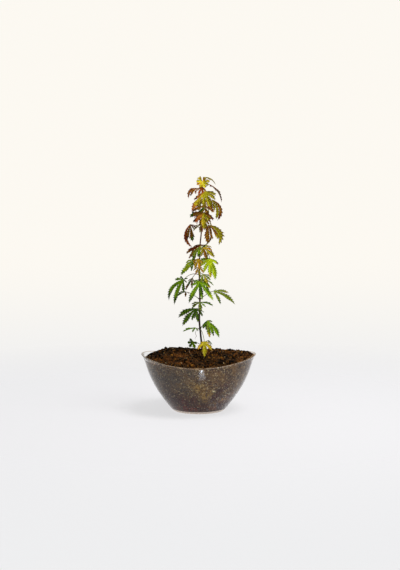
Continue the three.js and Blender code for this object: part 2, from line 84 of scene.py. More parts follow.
def drawn_up(name, rings, sides):
    """A round form drawn ring by ring, each a radius and a height, from a first disc to a last one."""
    bpy.ops.object.select_all(action="DESELECT")
    radius, height = rings[0]
    bpy.ops.mesh.primitive_circle_add(vertices=sides, radius=radius, fill_type="TRIFAN")
    piece = bpy.context.object
    piece.name = name
    bpy.ops.object.mode_set(mode="EDIT")
    bpy.ops.transform.translate(value=(0, 0, height))
    bpy.ops.mesh.select_mode(type="EDGE")
    bpy.ops.mesh.select_all(action="DESELECT")
    bpy.ops.mesh.select_non_manifold()
    for wider, higher in rings[1:]:
        grown = wider / radius
        bpy.ops.mesh.extrude_region_move()
        bpy.ops.transform.resize(value=(grown, grown, 1), center_override=(0, 0, 0))
        bpy.ops.transform.translate(value=(0, 0, higher - height))
        radius, height = wider, higher
    bpy.ops.mesh.edge_face_add()
    bpy.ops.mesh.poke()
    bpy.ops.mesh.select_all(action="SELECT")
    bpy.ops.mesh.normals_make_consistent(inside=False)
    bpy.ops.mesh.select_all(action="DESELECT")
    bpy.ops.object.mode_set(mode="OBJECT")
    return piece


lip_middle = LIP_HEIGHT - WALL / 2
wall_heights = np.linspace(WALL_STARTS_AT, lip_middle, WALL_RINGS)
outside = [(bowl_radius(h), h) for h in wall_heights]
lip_turns = np.linspace(0, math.pi, LIP_RINGS + 2)[1:-1]
over_the_lip = [
    (bowl_radius(LIP_HEIGHT) - WALL / 2 * (1 - math.cos(turn)), lip_middle + WALL / 2 * math.sin(turn))
    for turn in lip_turns
]
inside = [(bowl_radius(h) - WALL, h) for h in wall_heights[:0:-1] if h > INSIDE_STARTS_AT]
bowl = drawn_up("bowl_glass", FOOT_RINGS + outside + over_the_lip + inside + FLOOR_RINGS, BOWL_SIDES)
for corner in bowl.data.vertices:
    x, y, z = corner.co
    if z > FOOT_ENDS_AT:
        angle = math.atan2(y, x)
        sunk = bowl_radius(min(z, LIP_HEIGHT)) - math.hypot(x, y)
        let_down = (lip_height(angle) - BASE_THICKNESS) / (LIP_HEIGHT - BASE_THICKNESS)
        height = BASE_THICKNESS + (z - BASE_THICKNESS) * let_down
        corner.co = on_circle(angle, bowl_radius(height) - sunk, height)
bpy.ops.object.shade_smooth_by_angle(angle=math.radians(50))


def paint(red, green, blue):
    """A colour as the eye reads it, from 0 to 1, turned to the renderer's linear values."""
    linear = [c / 12.92 if c <= 0.04045 else ((c + 0.055) / 1.055) ** 2.4 for c in (red, green, blue)]
    return (*linear, 1)


def feed(tree, socket, value):
    """Links a socket to another node's output or sets its value, a colour of three numbers by paint."""
    if isinstance(value, bpy.types.NodeSocket):
        tree.links.new(value, socket)
    elif socket.type == "RGBA" and len(value) == 3:
        socket.default_value = paint(*value)
    else:
        socket.default_value = value


def add_node(tree, kind, output, inputs=(), **settings):
    """A new node of this kind, and of it the output that is asked for."""
    node = tree.nodes.new(kind)
    for key, value in settings.items():
        setattr(node, key, value)
    for key, value in dict(inputs).items():
        feed(tree, node.inputs[key], value)
    return node.outputs[output]


class Finish:
    """A material under construction: its nodes are added one by one and end in one surface shader."""

    def __init__(self, name):
        self.material = bpy.data.materials.new(name)
        self.material.use_nodes = True
        self.tree = self.material.node_tree
        self.shader = self.tree.nodes["Principled BSDF"]
        self.place = self.add("TexCoord", "Object")

    def add(self, kind, output, inputs=(), **settings):
        return add_node(self.tree, "ShaderNode" + kind, output, inputs, **settings)

    def noise(self, scale, detail=2.0, roughness=0.5, place=None):
        return self.add("TexNoise", "Fac", {
            "Vector": place or self.place, "Scale": scale, "Detail": detail, "Roughness": roughness})

    def cells(self, scale, place=None):
        """The outputs of a texture of cells that lie side by side like grains."""
        return self.add("TexVoronoi", 0, {"Vector": place or self.place, "Scale": scale}).node.outputs

    def height(self):
        return self.add("SeparateXYZ", "Z", {0: self.place})

    def maths(self, how, first, second, clamped=False):
        return self.add("Math", 0, {0: first, 1: second}, operation=how, use_clamp=clamped)

    def vector(self, how, *vectors):
        return self.add("VectorMath", 0, enumerate(vectors), operation=how)

    def length(self, vector):
        return self.add("VectorMath", "Value", {0: vector}, operation="LENGTH")

    def ramp(self, value, stops):
        colours = self.add("ValToRGB", "Color", {"Fac": value})
        elements = colours.node.color_ramp.elements
        while len(elements) < len(stops):
            elements.new(0.5)
        for element, (at, colour) in zip(elements, stops):
            element.position = at
            element.color = paint(*colour)
        return colours

    def blend(self, share, first, second, how="MIX"):
        return self.add("Mix", 2, {0: share, 6: first, 7: second}, data_type="RGBA", blend_type=how)

    def stretched(self, value, low, high, new_low, new_high):
        return self.add("MapRange", "Result", {
            "Value": value, "From Min": low, "From Max": high, "To Min": new_low, "To Max": new_high})

    def set(self, **sockets):
        for key, value in sockets.items():
            feed(self.tree, self.shader.inputs[key.replace("_", " ")], value)

    def relief(self, height, strength, distance):
        self.set(Normal=self.add("Bump", "Normal", {
            "Height": height, "Strength": strength, "Distance": distance}))


def let_lamps_through(clear, tint):
    """Lets lamp light straight through a glass, so that what is behind it isn't left in the dark."""
    lamp_light = clear.add("LightPath", "Is Shadow Ray")
    straight = clear.add("BsdfTransparent", 0, {"Color": tint})
    both = clear.add("MixShader", 0, {0: lamp_light, 1: clear.shader.outputs[0], 2: straight})
    clear.tree.links.new(both, clear.tree.nodes["Material Output"].inputs["Surface"])


GLASS_IOR = 1.46
glass = Finish("clear_glass")
smears = glass.noise(38, detail=4, roughness=0.6)
glass.set(Base_Color=(0.985, 0.99, 0.985, 1), Transmission_Weight=1.0, IOR=GLASS_IOR)
glass.set(Roughness=glass.stretched(smears, 0.45, 0.75, 0.01, 0.05))
glass.relief(glass.noise(16, detail=1), 0.05, 0.0004)
let_lamps_through(glass, (0.95, 0.96, 0.955, 1))
bowl.data.materials.append(glass.material)

# The band along the melted lip and the low rim of the foot are less clear and tinted: the lip's pale
# tan is a painted light line along it, the foot rim's pale beige a painted glow of light through the
# foot
for name, shade, paler, clearness in (
    ("melted_lip_glass", (0.66, 0.55, 0.42), (0.80, 0.70, 0.57), 0.82),
    ("ground_foot_glass", (0.86, 0.77, 0.70), (0.94, 0.88, 0.82), 0.25),
):
    edge_glass = Finish(name)
    milk = edge_glass.noise(420, detail=3)
    edge_glass.set(Base_Color=edge_glass.blend(milk, shade, paler), Transmission_Weight=clearness,
                   IOR=GLASS_IOR, Roughness=edge_glass.stretched(milk, 0.3, 0.7, 0.15, 0.4))
    edge_glass.relief(milk, 0.2, 0.0002)
    let_lamps_through(edge_glass, (0.8, 0.77, 0.72, 1))
    bowl.data.materials.append(edge_glass.material)
# Faces just under the lip take the painted light line, those on the low outer foot rim the painted glow
for face in bowl.data.polygons:
    middle = face.center
    under_lip = lip_height(math.atan2(middle.y, middle.x)) - middle.z
    rim_of_foot = middle.z < PAINTED_GLOW_RIM_HEIGHT and math.hypot(middle.x, middle.y) > PAINTED_GLOW_RIM_RADIUS
    face.material_index = 1 if under_lip < LIP_BAND else 2 if rim_of_foot else 0
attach(bowl, "root")
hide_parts("glass_bowl")


# The soil: a moist, crumbly potting mix of peat and fine bark that fills the bowl to just under its
# lip and is heaped round the stem. Its body is drawn up like the bowl and then roughened, and it is
# pressed a little way into the glass, so that the two meet wetly, with no air in between.
SOIL_CROWN = 0.09
SOIL_FOOT = Vector((0.0058, 0, SOIL_CROWN))
HEAP_POWER_AT_ENDS = 2.6
HEAP_POWER_AT_FRONT = 1.4
SOIL_SWELLS = [(-0.048, 0.0042), (0.045, -0.0024)]
SOIL_SWELL_REACH = 0.024
SOIL_SWELL_SQUEEZE = 0.6
SOIL_BELOW_LIP = 0.0015
SOIL_SHORT_AT_LEFT = 0.005
SOIL_PRESSED_IN = 0.0003
SOIL_FLOOR = BASE_THICKNESS - 0.0002
SOIL_FLOOR_RADIUS = 0.0335
SOIL_SIDES = 300
WALL_LAYERS = 44
TOP_LAYERS = 76
BLANK_TOP_RADIUS = 0.072
BLANK_TOP_LEVEL = 1.1
ROUGH_FROM_EDGE = 12
WALL_BAND = 0.0025


def soil_wall(height):
    """The soil's radius at a height, a little way into the glass."""
    return bowl_radius(height) - WALL + SOIL_PRESSED_IN


def soil_edge(angle):
    """The soil's edge against the glass."""
    height = lip_height(angle) - SOIL_BELOW_LIP - SOIL_SHORT_AT_LEFT * max(0, -math.cos(angle)) ** 3
    return on_circle(angle, soil_wall(height), height)


def soil_top(angle, share):
    """A point of the heap, from share 0 at the stem to share 1 at the glass."""
    edge = soil_edge(angle)
    point = SOIL_FOOT.lerp(edge, share)
    power = HEAP_POWER_AT_ENDS + (HEAP_POWER_AT_FRONT - HEAP_POWER_AT_ENDS) * math.sin(angle) ** 2
    point.z = edge.z + (SOIL_CROWN - edge.z) * (1 - share**power)
    for x, height in SOIL_SWELLS:
        away = math.hypot(point.x - x, point.y * SOIL_SWELL_SQUEEZE) / SOIL_SWELL_REACH
        point.z += height * math.exp(-away * away) * (1 - share**8)
    return point


# A blank with its wall from level 0 to 1 and its top above it, which is then fitted to the bowl and
# the heap
blank = [(0.002, 0), (0.02, 0)]
blank += [(0.034 + 0.04 * share, share) for share in np.linspace(0, 1, WALL_LAYERS)]
blank += [(BLANK_TOP_RADIUS * share, BLANK_TOP_LEVEL) for share in np.linspace(1, 0.02, TOP_LAYERS)]
soil = drawn_up("soil_body", blank, SOIL_SIDES)
against_glass = soil.vertex_groups.new(name="against_glass")
on_top = soil.vertex_groups.new(name="on_top")
for corner in soil.data.vertices:
    x, y, z = corner.co
    angle, radius = math.atan2(y, x), math.hypot(x, y)
    if z > (1 + BLANK_TOP_LEVEL) / 2:
        share = radius / BLANK_TOP_RADIUS
        corner.co = soil_top(angle, share)
        on_top.add([corner.index], min(1, (1 - share) * ROUGH_FROM_EDGE), "REPLACE")
    else:
        height = SOIL_FLOOR + z * (soil_edge(angle).z - SOIL_FLOOR)
        if z > 0 or radius > SOIL_FLOOR_RADIUS:
            coarse = 1 if x > 0.01 and height < 0.05 else 0.8
            radius = soil_wall(height)
            against_glass.add([corner.index], coarse, "REPLACE")
        corner.co = on_circle(angle, radius, height)


def roughened(piece, kind, size, depth, middle=0.5, group=""):
    """Raises and sinks a piece's surface by a cloudy or a cobbled texture of this grain."""
    grain = bpy.data.textures.new(f"{piece.name}_{kind.lower()}_{round(size / MM * 10)}", kind)
    grain.noise_scale = size
    change = piece.modifiers.new("roughened", "DISPLACE")
    change.texture = grain
    change.texture_coords = "LOCAL"
    change.strength = depth
    change.mid_level = middle
    change.vertex_group = group
    bpy.context.view_layer.objects.active = piece
    bpy.ops.object.modifier_apply(modifier=change.name)


roughened(soil, "CLOUDS", size=0.012, depth=0.0042, group="on_top")
roughened(soil, "VORONOI", size=0.0048, depth=0.0036, group="on_top")
roughened(soil, "CLOUDS", size=0.0018, depth=0.0018, group="on_top")
roughened(soil, "VORONOI", size=0.0034, depth=0.0004, middle=1, group="against_glass")
bpy.ops.object.shade_smooth()


def potting_mix(name, browns, crumb_browns, ochre, damp_red, red_above, gap_shade, specks=0, shades=()):
    """Peat and bark: grains of two sizes in browns and black, ochre and damp dark-red patches, and
    shades, each a place in X and Z, its two reaches, its slope in degrees, its colour and strength."""
    mix = Finish(name)
    swirl = mix.add("TexNoise", "Color", {"Vector": mix.place, "Scale": 260})
    uneven = mix.vector("MULTIPLY_ADD", swirl, (0.0016, 0.0016, 0.0016), mix.place)
    grains, fine = mix.cells(430, uneven), mix.cells(980, uneven)
    grain_shade = mix.add("SeparateColor", 0, {0: grains["Color"]})
    fine_shade = mix.add("SeparateColor", 1, {0: fine["Color"]})
    colour = mix.blend(0.4, mix.ramp(grain_shade, browns), mix.ramp(fine_shade, crumb_browns))
    ragged = mix.stretched(mix.noise(90, detail=4, roughness=0.6), 0.3, 0.7, -0.35, 0.35)
    for x, z, long, short, slope, shade, strength in shades:
        spot = mix.add("Mapping", 0, {"Vector": mix.place, "Location": (-x, 0, -z)})
        spot = mix.add("Mapping", 0, {"Vector": spot, "Rotation": (0, math.radians(slope), 0)})
        away = mix.length(mix.vector("MULTIPLY", spot, (1 / long, 0, 1 / short)))
        away = mix.maths("ADD", away, ragged)
        colour = mix.blend(mix.stretched(away, 0.45, 1.1, strength, 0), colour, shade)
    # Painted shade: the gaps between grains are darkened toward the gap shade colour
    gaps = mix.stretched(grains["Distance"], 0.35, 0.75, 0, 0.75)
    colour = mix.blend(gaps, colour, gap_shade)
    cloudy = mix.stretched(mix.noise(120, detail=3, roughness=0.6), 0.3, 0.7, 0.62, 1.38)
    colour = mix.blend(1.0, colour, cloudy, "MULTIPLY")
    patches = mix.stretched(mix.noise(62, detail=3, roughness=0.6), 0.5, 0.64, 0, 0.45)
    colour = mix.blend(patches, colour, ochre)
    height = mix.height()
    damp = mix.stretched(mix.noise(36, detail=3, roughness=0.65), 0.47, 0.60, 0, 0.8)
    low_down = mix.stretched(height, 0.012, 0.05, 1.3, red_above)
    low_damp = mix.maths("MULTIPLY", damp, low_down, clamped=True)
    colour = mix.blend(low_damp, colour, damp_red)
    dots = mix.cells(390)
    chosen = mix.add("SeparateColor", 2, {0: dots["Color"]})
    chosen = mix.maths("MULTIPLY", chosen, mix.stretched(height, 0.012, 0.04, 0.82, 1))
    dot = mix.stretched(dots["Distance"], 0.28, 0.46, specks, 0)
    pale = mix.maths("MULTIPLY", dot, mix.stretched(chosen, 0.66, 0.8, 0, 1))
    colour = mix.blend(pale, colour, (0.84, 0.76, 0.58))
    mix.set(Base_Color=colour, Roughness=mix.stretched(mix.noise(700), 0.3, 0.7, 0.6, 0.95))
    mix.set(Specular_IOR_Level=0.05)
    mix.relief(mix.blend(0.5, grains["Distance"], fine["Distance"]), 0.7, -0.001)
    return mix.material


moist_top = potting_mix(
    "moist_top_mix",
    browns=[(0.0, (0.05, 0.03, 0.015)), (0.4, (0.12, 0.075, 0.035)), (0.7, (0.24, 0.15, 0.06)),
            (0.9, (0.40, 0.25, 0.09)), (1.0, (0.55, 0.38, 0.16))],
    crumb_browns=[(0.0, (0.06, 0.04, 0.02)), (0.6, (0.20, 0.13, 0.06)), (0.95, (0.36, 0.24, 0.10)),
                  (1.0, (0.70, 0.58, 0.34))],
    ochre=(0.44, 0.25, 0.08), damp_red=(0.06, 0.035, 0.02), red_above=0.5, gap_shade=(0.05, 0.035, 0.025))
behind_glass = potting_mix(
    "mix_against_glass",
    browns=[(0.0, (0.20, 0.12, 0.07)), (0.35, (0.33, 0.22, 0.13)), (0.65, (0.45, 0.33, 0.20)),
            (0.87, (0.58, 0.44, 0.26)), (1.0, (0.70, 0.57, 0.36))],
    crumb_browns=[(0.0, (0.20, 0.12, 0.07)), (0.5, (0.38, 0.27, 0.17)), (0.9, (0.54, 0.42, 0.27)),
                  (0.97, (0.78, 0.68, 0.50)), (1.0, (0.86, 0.78, 0.62))],
    ochre=(0.50, 0.36, 0.16), damp_red=(0.25, 0.085, 0.05), red_above=0.1, gap_shade=(0.16, 0.09, 0.05),
    specks=0.58,
    # The first shade, grey at the upper left, is a painted reflection of the pale surround in the glass
    shades=[(-0.040, 0.060, 0.050, 0.026, 0, (0.42, 0.38, 0.33), 0.6),
            (0.006, 0.038, 0.030, 0.012, -41, (0.74, 0.57, 0.24), 0.65),
            (-0.024, 0.020, 0.028, 0.013, 0, (0.37, 0.10, 0.05), 0.9),
            (0.000, 0.008, 0.050, 0.008, 0, (0.46, 0.12, 0.05), 0.95),
            (0.030, 0.036, 0.028, 0.0055, 45, (0.27, 0.08, 0.05), 1.0),
            (0.036, 0.022, 0.022, 0.006, 40, (0.78, 0.54, 0.34), 0.55),
            (0.0216, 0.0385, 0.0030, 0.0016, -10, (1.0, 0.95, 0.70), 1.0)])
soil.data.materials.append(moist_top)
soil.data.materials.append(behind_glass)
for face in soil.data.polygons:
    angle = math.atan2(face.center.y, face.center.x)
    wall_radius = bowl_radius(min(face.center.z, lip_height(angle))) - WALL
    face.material_index = 1 if math.hypot(*face.center[:2]) > wall_radius - WALL_BAND else 0
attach(soil, "root")
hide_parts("soil")


# The loose top of the soil: clods, crumbs and chips of bark, from dust to a few millimetres, and the
# pale grains and rusty flecks among them that also show through the glass. Each is one broken lump.
CLODS, CLOD_SIZE = 560, 0.0016
RIM_CLODS, RIM_CLOD_SIZE = 70, 0.0021
CRUMBS, CRUMB_SIZE = 3400, 0.00052
CHIPS, CHIP_SIZE = 420, 0.0011
FLECKS, FLECK_SIZE = 800, 0.00052
GRITS = [
    ("black_peat", (0.05, 0.032, 0.018)),
    ("dark_peat", (0.13, 0.08, 0.035)),
    ("rusty_bark", (0.37, 0.22, 0.07)),
    ("ochre_bark", (0.52, 0.35, 0.12)),
    ("pale_grain", (0.86, 0.78, 0.60)),
]
seeded = random.Random(31)
LUMP_CORNERS = [Vector(corner).normalized() for corner in (
    (0, 0, 1), (0.89, 0, 0.45), (0.28, 0.85, 0.45), (-0.72, 0.53, 0.45), (-0.72, -0.53, 0.45),
    (0.28, -0.85, 0.45), (0.72, 0.53, -0.45), (-0.28, 0.85, -0.45), (-0.89, 0, -0.45),
    (-0.28, -0.85, -0.45), (0.72, -0.53, -0.45), (0, 0, -1))]
LUMP_FACES = [(0, 1, 2), (0, 2, 3), (0, 3, 4), (0, 4, 5), (0, 5, 1), (1, 6, 2), (2, 7, 3), (3, 8, 4),
              (4, 9, 5), (5, 10, 1), (6, 7, 2), (7, 8, 3), (8, 9, 4), (9, 10, 5), (10, 6, 1),
              (11, 7, 6), (11, 8, 7), (11, 9, 8), (11, 10, 9), (11, 6, 10)]


def mesh_piece(name, corners, faces, looks=None):
    """A piece from arrays of corners and faces, each face with the number of its material."""
    mesh = bpy.data.meshes.new(name)
    mesh.from_pydata([tuple(c) for c in corners], [], faces)
    if looks is not None:
        mesh.polygons.foreach_set("material_index", looks)
    piece = bpy.data.objects.new(name, mesh)
    bpy.context.scene.collection.objects.link(piece)
    bpy.ops.object.select_all(action="DESELECT")
    bpy.context.view_layer.objects.active = piece
    piece.select_set(True)
    return piece


def lump(size, stretch):
    """The corners of one broken lump, its radius about size, turned any way."""
    angle = seeded.uniform(0, math.tau)
    turn = Matrix.Rotation(angle, 3, Vector((seeded.uniform(-1, 1), seeded.uniform(-1, 1), 1)))
    return [
        turn @ Vector([c * s for c, s in zip(corner, stretch)]) * size * seeded.uniform(0.72, 1.2)
        for corner in LUMP_CORNERS
    ]


loose_corners, loose_faces, loose_looks = [], [], []


def drop(middle, size, look, stretch):
    first = len(loose_corners)
    loose_corners.extend(middle + corner for corner in lump(size, stretch))
    loose_faces.extend(tuple(first + i for i in face) for face in LUMP_FACES)
    loose_looks.extend([look] * len(LUMP_FACES))


def about(size, spread):
    return size * math.exp(seeded.gauss(0, spread))


def anywhere_on_top(nearest_edge, raised):
    angle = seeded.uniform(-math.pi, math.pi)
    return soil_top(angle, math.sqrt(seeded.uniform(0, nearest_edge**2))) + Vector((0, 0, raised))


def some_grit(*shares):
    """One of the grits, by number, each as likely as its share."""
    return seeded.choices(range(len(GRITS)), shares)[0]


def chunky():
    return 1, seeded.uniform(0.7, 1), seeded.uniform(0.6, 0.9)


for _ in range(CLODS):
    size = about(CLOD_SIZE, 0.36)
    drop(anywhere_on_top(0.94, size * 0.25), size, some_grit(5, 5, 3, 1, 0), chunky())
for _ in range(RIM_CLODS):
    size = about(RIM_CLOD_SIZE, 0.22)
    spot = soil_top(seeded.uniform(0, math.tau), seeded.uniform(0.72, 0.9)) + Vector((0, 0, size * 0.3))
    drop(spot, size, some_grit(5, 5, 3, 0, 0), chunky())
for _ in range(CRUMBS):
    size = about(CRUMB_SIZE, 0.35)
    spot = anywhere_on_top(0.975, 0) + Vector((0, 0, seeded.uniform(0, 0.0009)))
    drop(spot, size, some_grit(5, 4, 3, 1.4, 0.25), (1, 1, 0.8))
for _ in range(CHIPS):
    size = about(CHIP_SIZE, 0.4)
    drop(anywhere_on_top(0.93, size * 0.3), size, some_grit(2, 3, 5, 2, 0.4), (1.3, 0.28, 0.22))
for _ in range(FLECKS):
    angle, share = seeded.uniform(-math.pi, math.pi), seeded.uniform(0.04, 0.96)
    size = about(FLECK_SIZE, 0.4)
    height = SOIL_FLOOR + share * (soil_edge(angle).z - SOIL_FLOOR)
    spot = on_circle(angle, soil_wall(height) - size * 0.9, height)
    drop(spot, size, some_grit(2, 2, 3, 3, 0.8), (1, 1, 0.7))

loose = mesh_piece("soil_crumbs", loose_corners, loose_faces, loose_looks)
for name, colour in GRITS:
    grit = Finish(name)
    patchy = grit.stretched(grit.noise(900, detail=3), 0.3, 0.7, 0.55, 1.25)
    grit.set(Base_Color=grit.blend(1.0, colour, patchy, "MULTIPLY"), Specular_IOR_Level=0.05)
    grit.set(Roughness=grit.stretched(grit.noise(1400), 0.3, 0.7, 0.6, 0.95))
    grit.relief(grit.noise(2200, detail=2), 0.5, 0.0003)
    loose.data.materials.append(grit.material)
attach(loose, "root")


# The stem: one slender whip, woody at the foot and still green-red at the tip, with a swelling at
# each pair of leaves. A straight rod is ringed closely, bent along its line and ridged like bark.
STEM_BENDS = [(4.2, 0.4, 102), (2.6, 0.2, 118), (1.2, -0.6, 133), (1.9, -0.2, 165), (1.2, 0.5, 201),
              (2.2, 0.2, 245), (4.4, -0.4, 270), (6.6, 0.2, 310), (5.6, 0, 338)]
STEM_FOOT_RADIUS = 0.00145
STEM_TIP_RADIUS = 0.00075
ROOT_FLARE = 0.0011
ROOT_FLARE_HEIGHT = 0.004
STEM_SIDES = 28
STEM_RINGS = 360
STEM_SUNK = 0.003
NODE_HEIGHTS = [7.5, 31.5, 59.5, 70, 76, 100, 113.5, 130, 156, 181, 198, 218, 239]
SWELLING_REACH = 1.3
SCAR_ABOVE_NODE = 1.4
SCAR_REACH = 0.35
TIP_ROUNDED_OVER = 0.001


def spline_points(knots, divisions=400):
    """Points along a smooth line through the knots, which gives close knots less sway."""
    knots = [np.array(k, float) for k in knots]
    knots = [2 * knots[0] - knots[1], *knots, 2 * knots[-1] - knots[-2]]
    points = []
    for step in range(divisions + 1):
        whole = step / divisions * (len(knots) - 3)
        span = min(int(whole), len(knots) - 4)
        a, b, c, d = knots[span : span + 4]
        ab, bc, cd = [math.sqrt(np.linalg.norm(q - p)) for p, q in ((a, b), (b, c), (c, d))]
        t = whole - span
        leave = ((b - a) / ab - (c - a) / (ab + bc) + (c - b) / bc) * bc
        arrive = ((c - b) / bc - (d - b) / (bc + cd) + (d - c) / cd) * bc
        squared, cubed = 3 * (c - b) - 2 * leave - arrive, 2 * (b - c) + leave + arrive
        points.append(b + leave * t + squared * t**2 + cubed * t**3)
    return np.array(points)


stem_line = spline_points([SOIL_FOOT] + [Vector(p) * MM for p in STEM_BENDS])
stem_reach = np.concatenate([[0], np.cumsum(np.linalg.norm(np.diff(stem_line, axis=0), axis=1))])
STEM_LENGTH = stem_reach[-1]


def stem_at(height):
    """The stem's middle, the way it grows and its radius, at a length above the soil."""
    middle, ahead, behind = [
        Vector([np.interp(h, stem_reach, stem_line[:, axis]) for axis in range(3)])
        for h in (height, min(height + 0.001, STEM_LENGTH), max(height - 0.001, 0))
    ]
    share = min(max(height / STEM_LENGTH, 0), 1)
    taper = STEM_FOOT_RADIUS + (STEM_TIP_RADIUS - STEM_FOOT_RADIUS) * share
    flare = ROOT_FLARE * math.exp(-max(height, 0) / ROOT_FLARE_HEIGHT)
    return middle, (ahead - behind).normalized(), taper + flare


def frame_round(along):
    """Two ways square to a line, the first as near to +X as it can be, or to +Z on a level line."""
    start = Vector((1, 0, 0)) if abs(along.z) > 0.9 else Vector((0, 0, 1))
    first = (start - along * start.dot(along)).normalized()
    return first, along.cross(first)


bpy.ops.object.select_all(action="DESELECT")
bpy.ops.mesh.primitive_cylinder_add(vertices=STEM_SIDES, radius=1, depth=2, end_fill_type="TRIFAN")
stem = bpy.context.object
stem.name = "stem_bark"
bpy.ops.object.mode_set(mode="EDIT")
bpy.ops.mesh.select_mode(type="EDGE")
bpy.ops.mesh.select_all(action="DESELECT")
rod = bmesh.from_edit_mesh(stem.data)
for edge in rod.edges:
    low, high = sorted(corner.co.z for corner in edge.verts)
    edge.select_set(low < -0.9 and high > 0.9)
bmesh.update_edit_mesh(stem.data)
bpy.ops.mesh.subdivide(number_cuts=STEM_RINGS)
bpy.ops.object.mode_set(mode="OBJECT")
for corner in stem.data.vertices:
    x, y, z = corner.co
    height = (z + 1) / 2 * (STEM_LENGTH + STEM_SUNK) - STEM_SUNK
    middle, along, radius = stem_at(height)
    if height < 0:
        middle = middle + Vector((0, 0, height))
    turn = math.atan2(y, x)
    above = [height / MM - node for node in NODE_HEIGHTS]
    swelling = sum(math.exp(-((a / SWELLING_REACH) ** 2)) for a in above)
    scars = sum(math.exp(-(((a - SCAR_ABOVE_NODE) / SCAR_REACH) ** 2)) for a in above)
    ridges = 0.035 * math.sin(7 * turn + height * 190) + 0.02 * math.sin(13 * turn - height * 420)
    rings = 0.03 * math.sin(height * 2900 + 2 * math.sin(turn)) * max(0, 1 - height / 0.12)
    radius *= 1 + 0.30 * swelling - 0.10 * scars + ridges + rings
    if height > STEM_LENGTH - TIP_ROUNDED_OVER:
        radius *= max(0.25, (STEM_LENGTH - height) / TIP_ROUNDED_OVER)
    first, second = frame_round(along)
    reach = math.hypot(x, y) * radius
    corner.co = middle + (first * math.cos(turn) + second * math.sin(turn)) * reach
bpy.ops.object.shade_smooth()

bark = Finish("young_bark")
age = bark.ramp(bark.stretched(bark.height(), 0.09, 0.338, 0, 1), [
    (0.0, (0.19, 0.14, 0.10)), (0.24, (0.24, 0.13, 0.11)), (0.38, (0.40, 0.27, 0.14)),
    (0.56, (0.50, 0.38, 0.17)), (0.68, (0.48, 0.27, 0.20)), (0.93, (0.66, 0.30, 0.12))])
long_grain = bark.add("Mapping", 0, {"Vector": bark.place, "Scale": (1, 1, 0.12)})
streaks = bark.noise(2600, detail=3, place=long_grain)
streaked = bark.blend(bark.stretched(streaks, 0.35, 0.7, 0, 0.55), age, (0.10, 0.07, 0.06))
pores = bark.stretched(bark.cells(620)["Distance"], 0.10, 0.16, 0.6, 0)
bark.set(Base_Color=bark.blend(pores, streaked, (0.50, 0.40, 0.30)))
bark.set(Roughness=bark.stretched(streaks, 0.3, 0.7, 0.45, 0.75))
bark.relief(streaks, 0.5, 0.0003)
stem.data.materials.append(bark.material)
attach(stem, "root")
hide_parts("stem")


# The leaves: opposite, long-stalked and cut almost to the stalk into drooping, saw-toothed lobes. Each
# is one thin blade, pleated along its side veins and folded up along each midrib, on a slim stalk that
# springs from a swelling of the stem. Autumn colour is dealt out lobe by lobe.
BLADE = 0.00034
BLADE_FOLD = 0.5
STALK_RADIUS = 0.0005
STALK_ARCH = 0.18
STALK_BEND_SHARE = 0.55
STALK_SIDES = 10
STALK_RINGS = 18
RED_STALKS_ABOVE = 140
HEEL = 0.0009
TOOTH = 4.5
TOOTH_DEPTH = 0.72
TOOTHED_SHARE = 0.86
MIDRIB_HALF = 0.00032
MIDRIB_SUNK = 0.00012
SIDE_VEIN_AT = 0.62
TURNED_FROM = [0.58, 0.66, 0.74]
LOBE_ROOM = 0.9
LOBE_SWAY = 0.035
FAN_EDGE_STARTS_AT = 0.03
FAN_EDGE_FADE = 0.22
NOTCH_FADE = 0.14
EDGE_WAVE = 0.10
SPINE_STEPS = 24
WEB_ROW = 0.0015
PLEAT = 0.00022
PLEAT_FULL_FROM = 0.0025
DOWN = Vector((0, 0, -1))
UP = Vector((0, 0, 1))

# How far the web between two lobes reaches, a lobe's half width, and its outline as pairs of share
# along the lobe and share of the half width
CUT = {"web": 0.16, "half": 0.08, "outline": [(0.3, 0.65), (0.55, 1), (0.8, 0.55), (0.91, 0.2)]}
BROAD = {"web": 0.42, "half": 0.13, "outline": [(0.62, 1), (0.82, 0.55), (0.92, 0.2)]}
FULL = {"web": 0.6, "half": 0.28, "outline": [(0.72, 1), (0.87, 0.55), (0.94, 0.2)]}
PLAIN_LOBES = [(-80, 0.5), (-40, 0.85), (0, 1), (40, 0.85), (80, 0.5)]

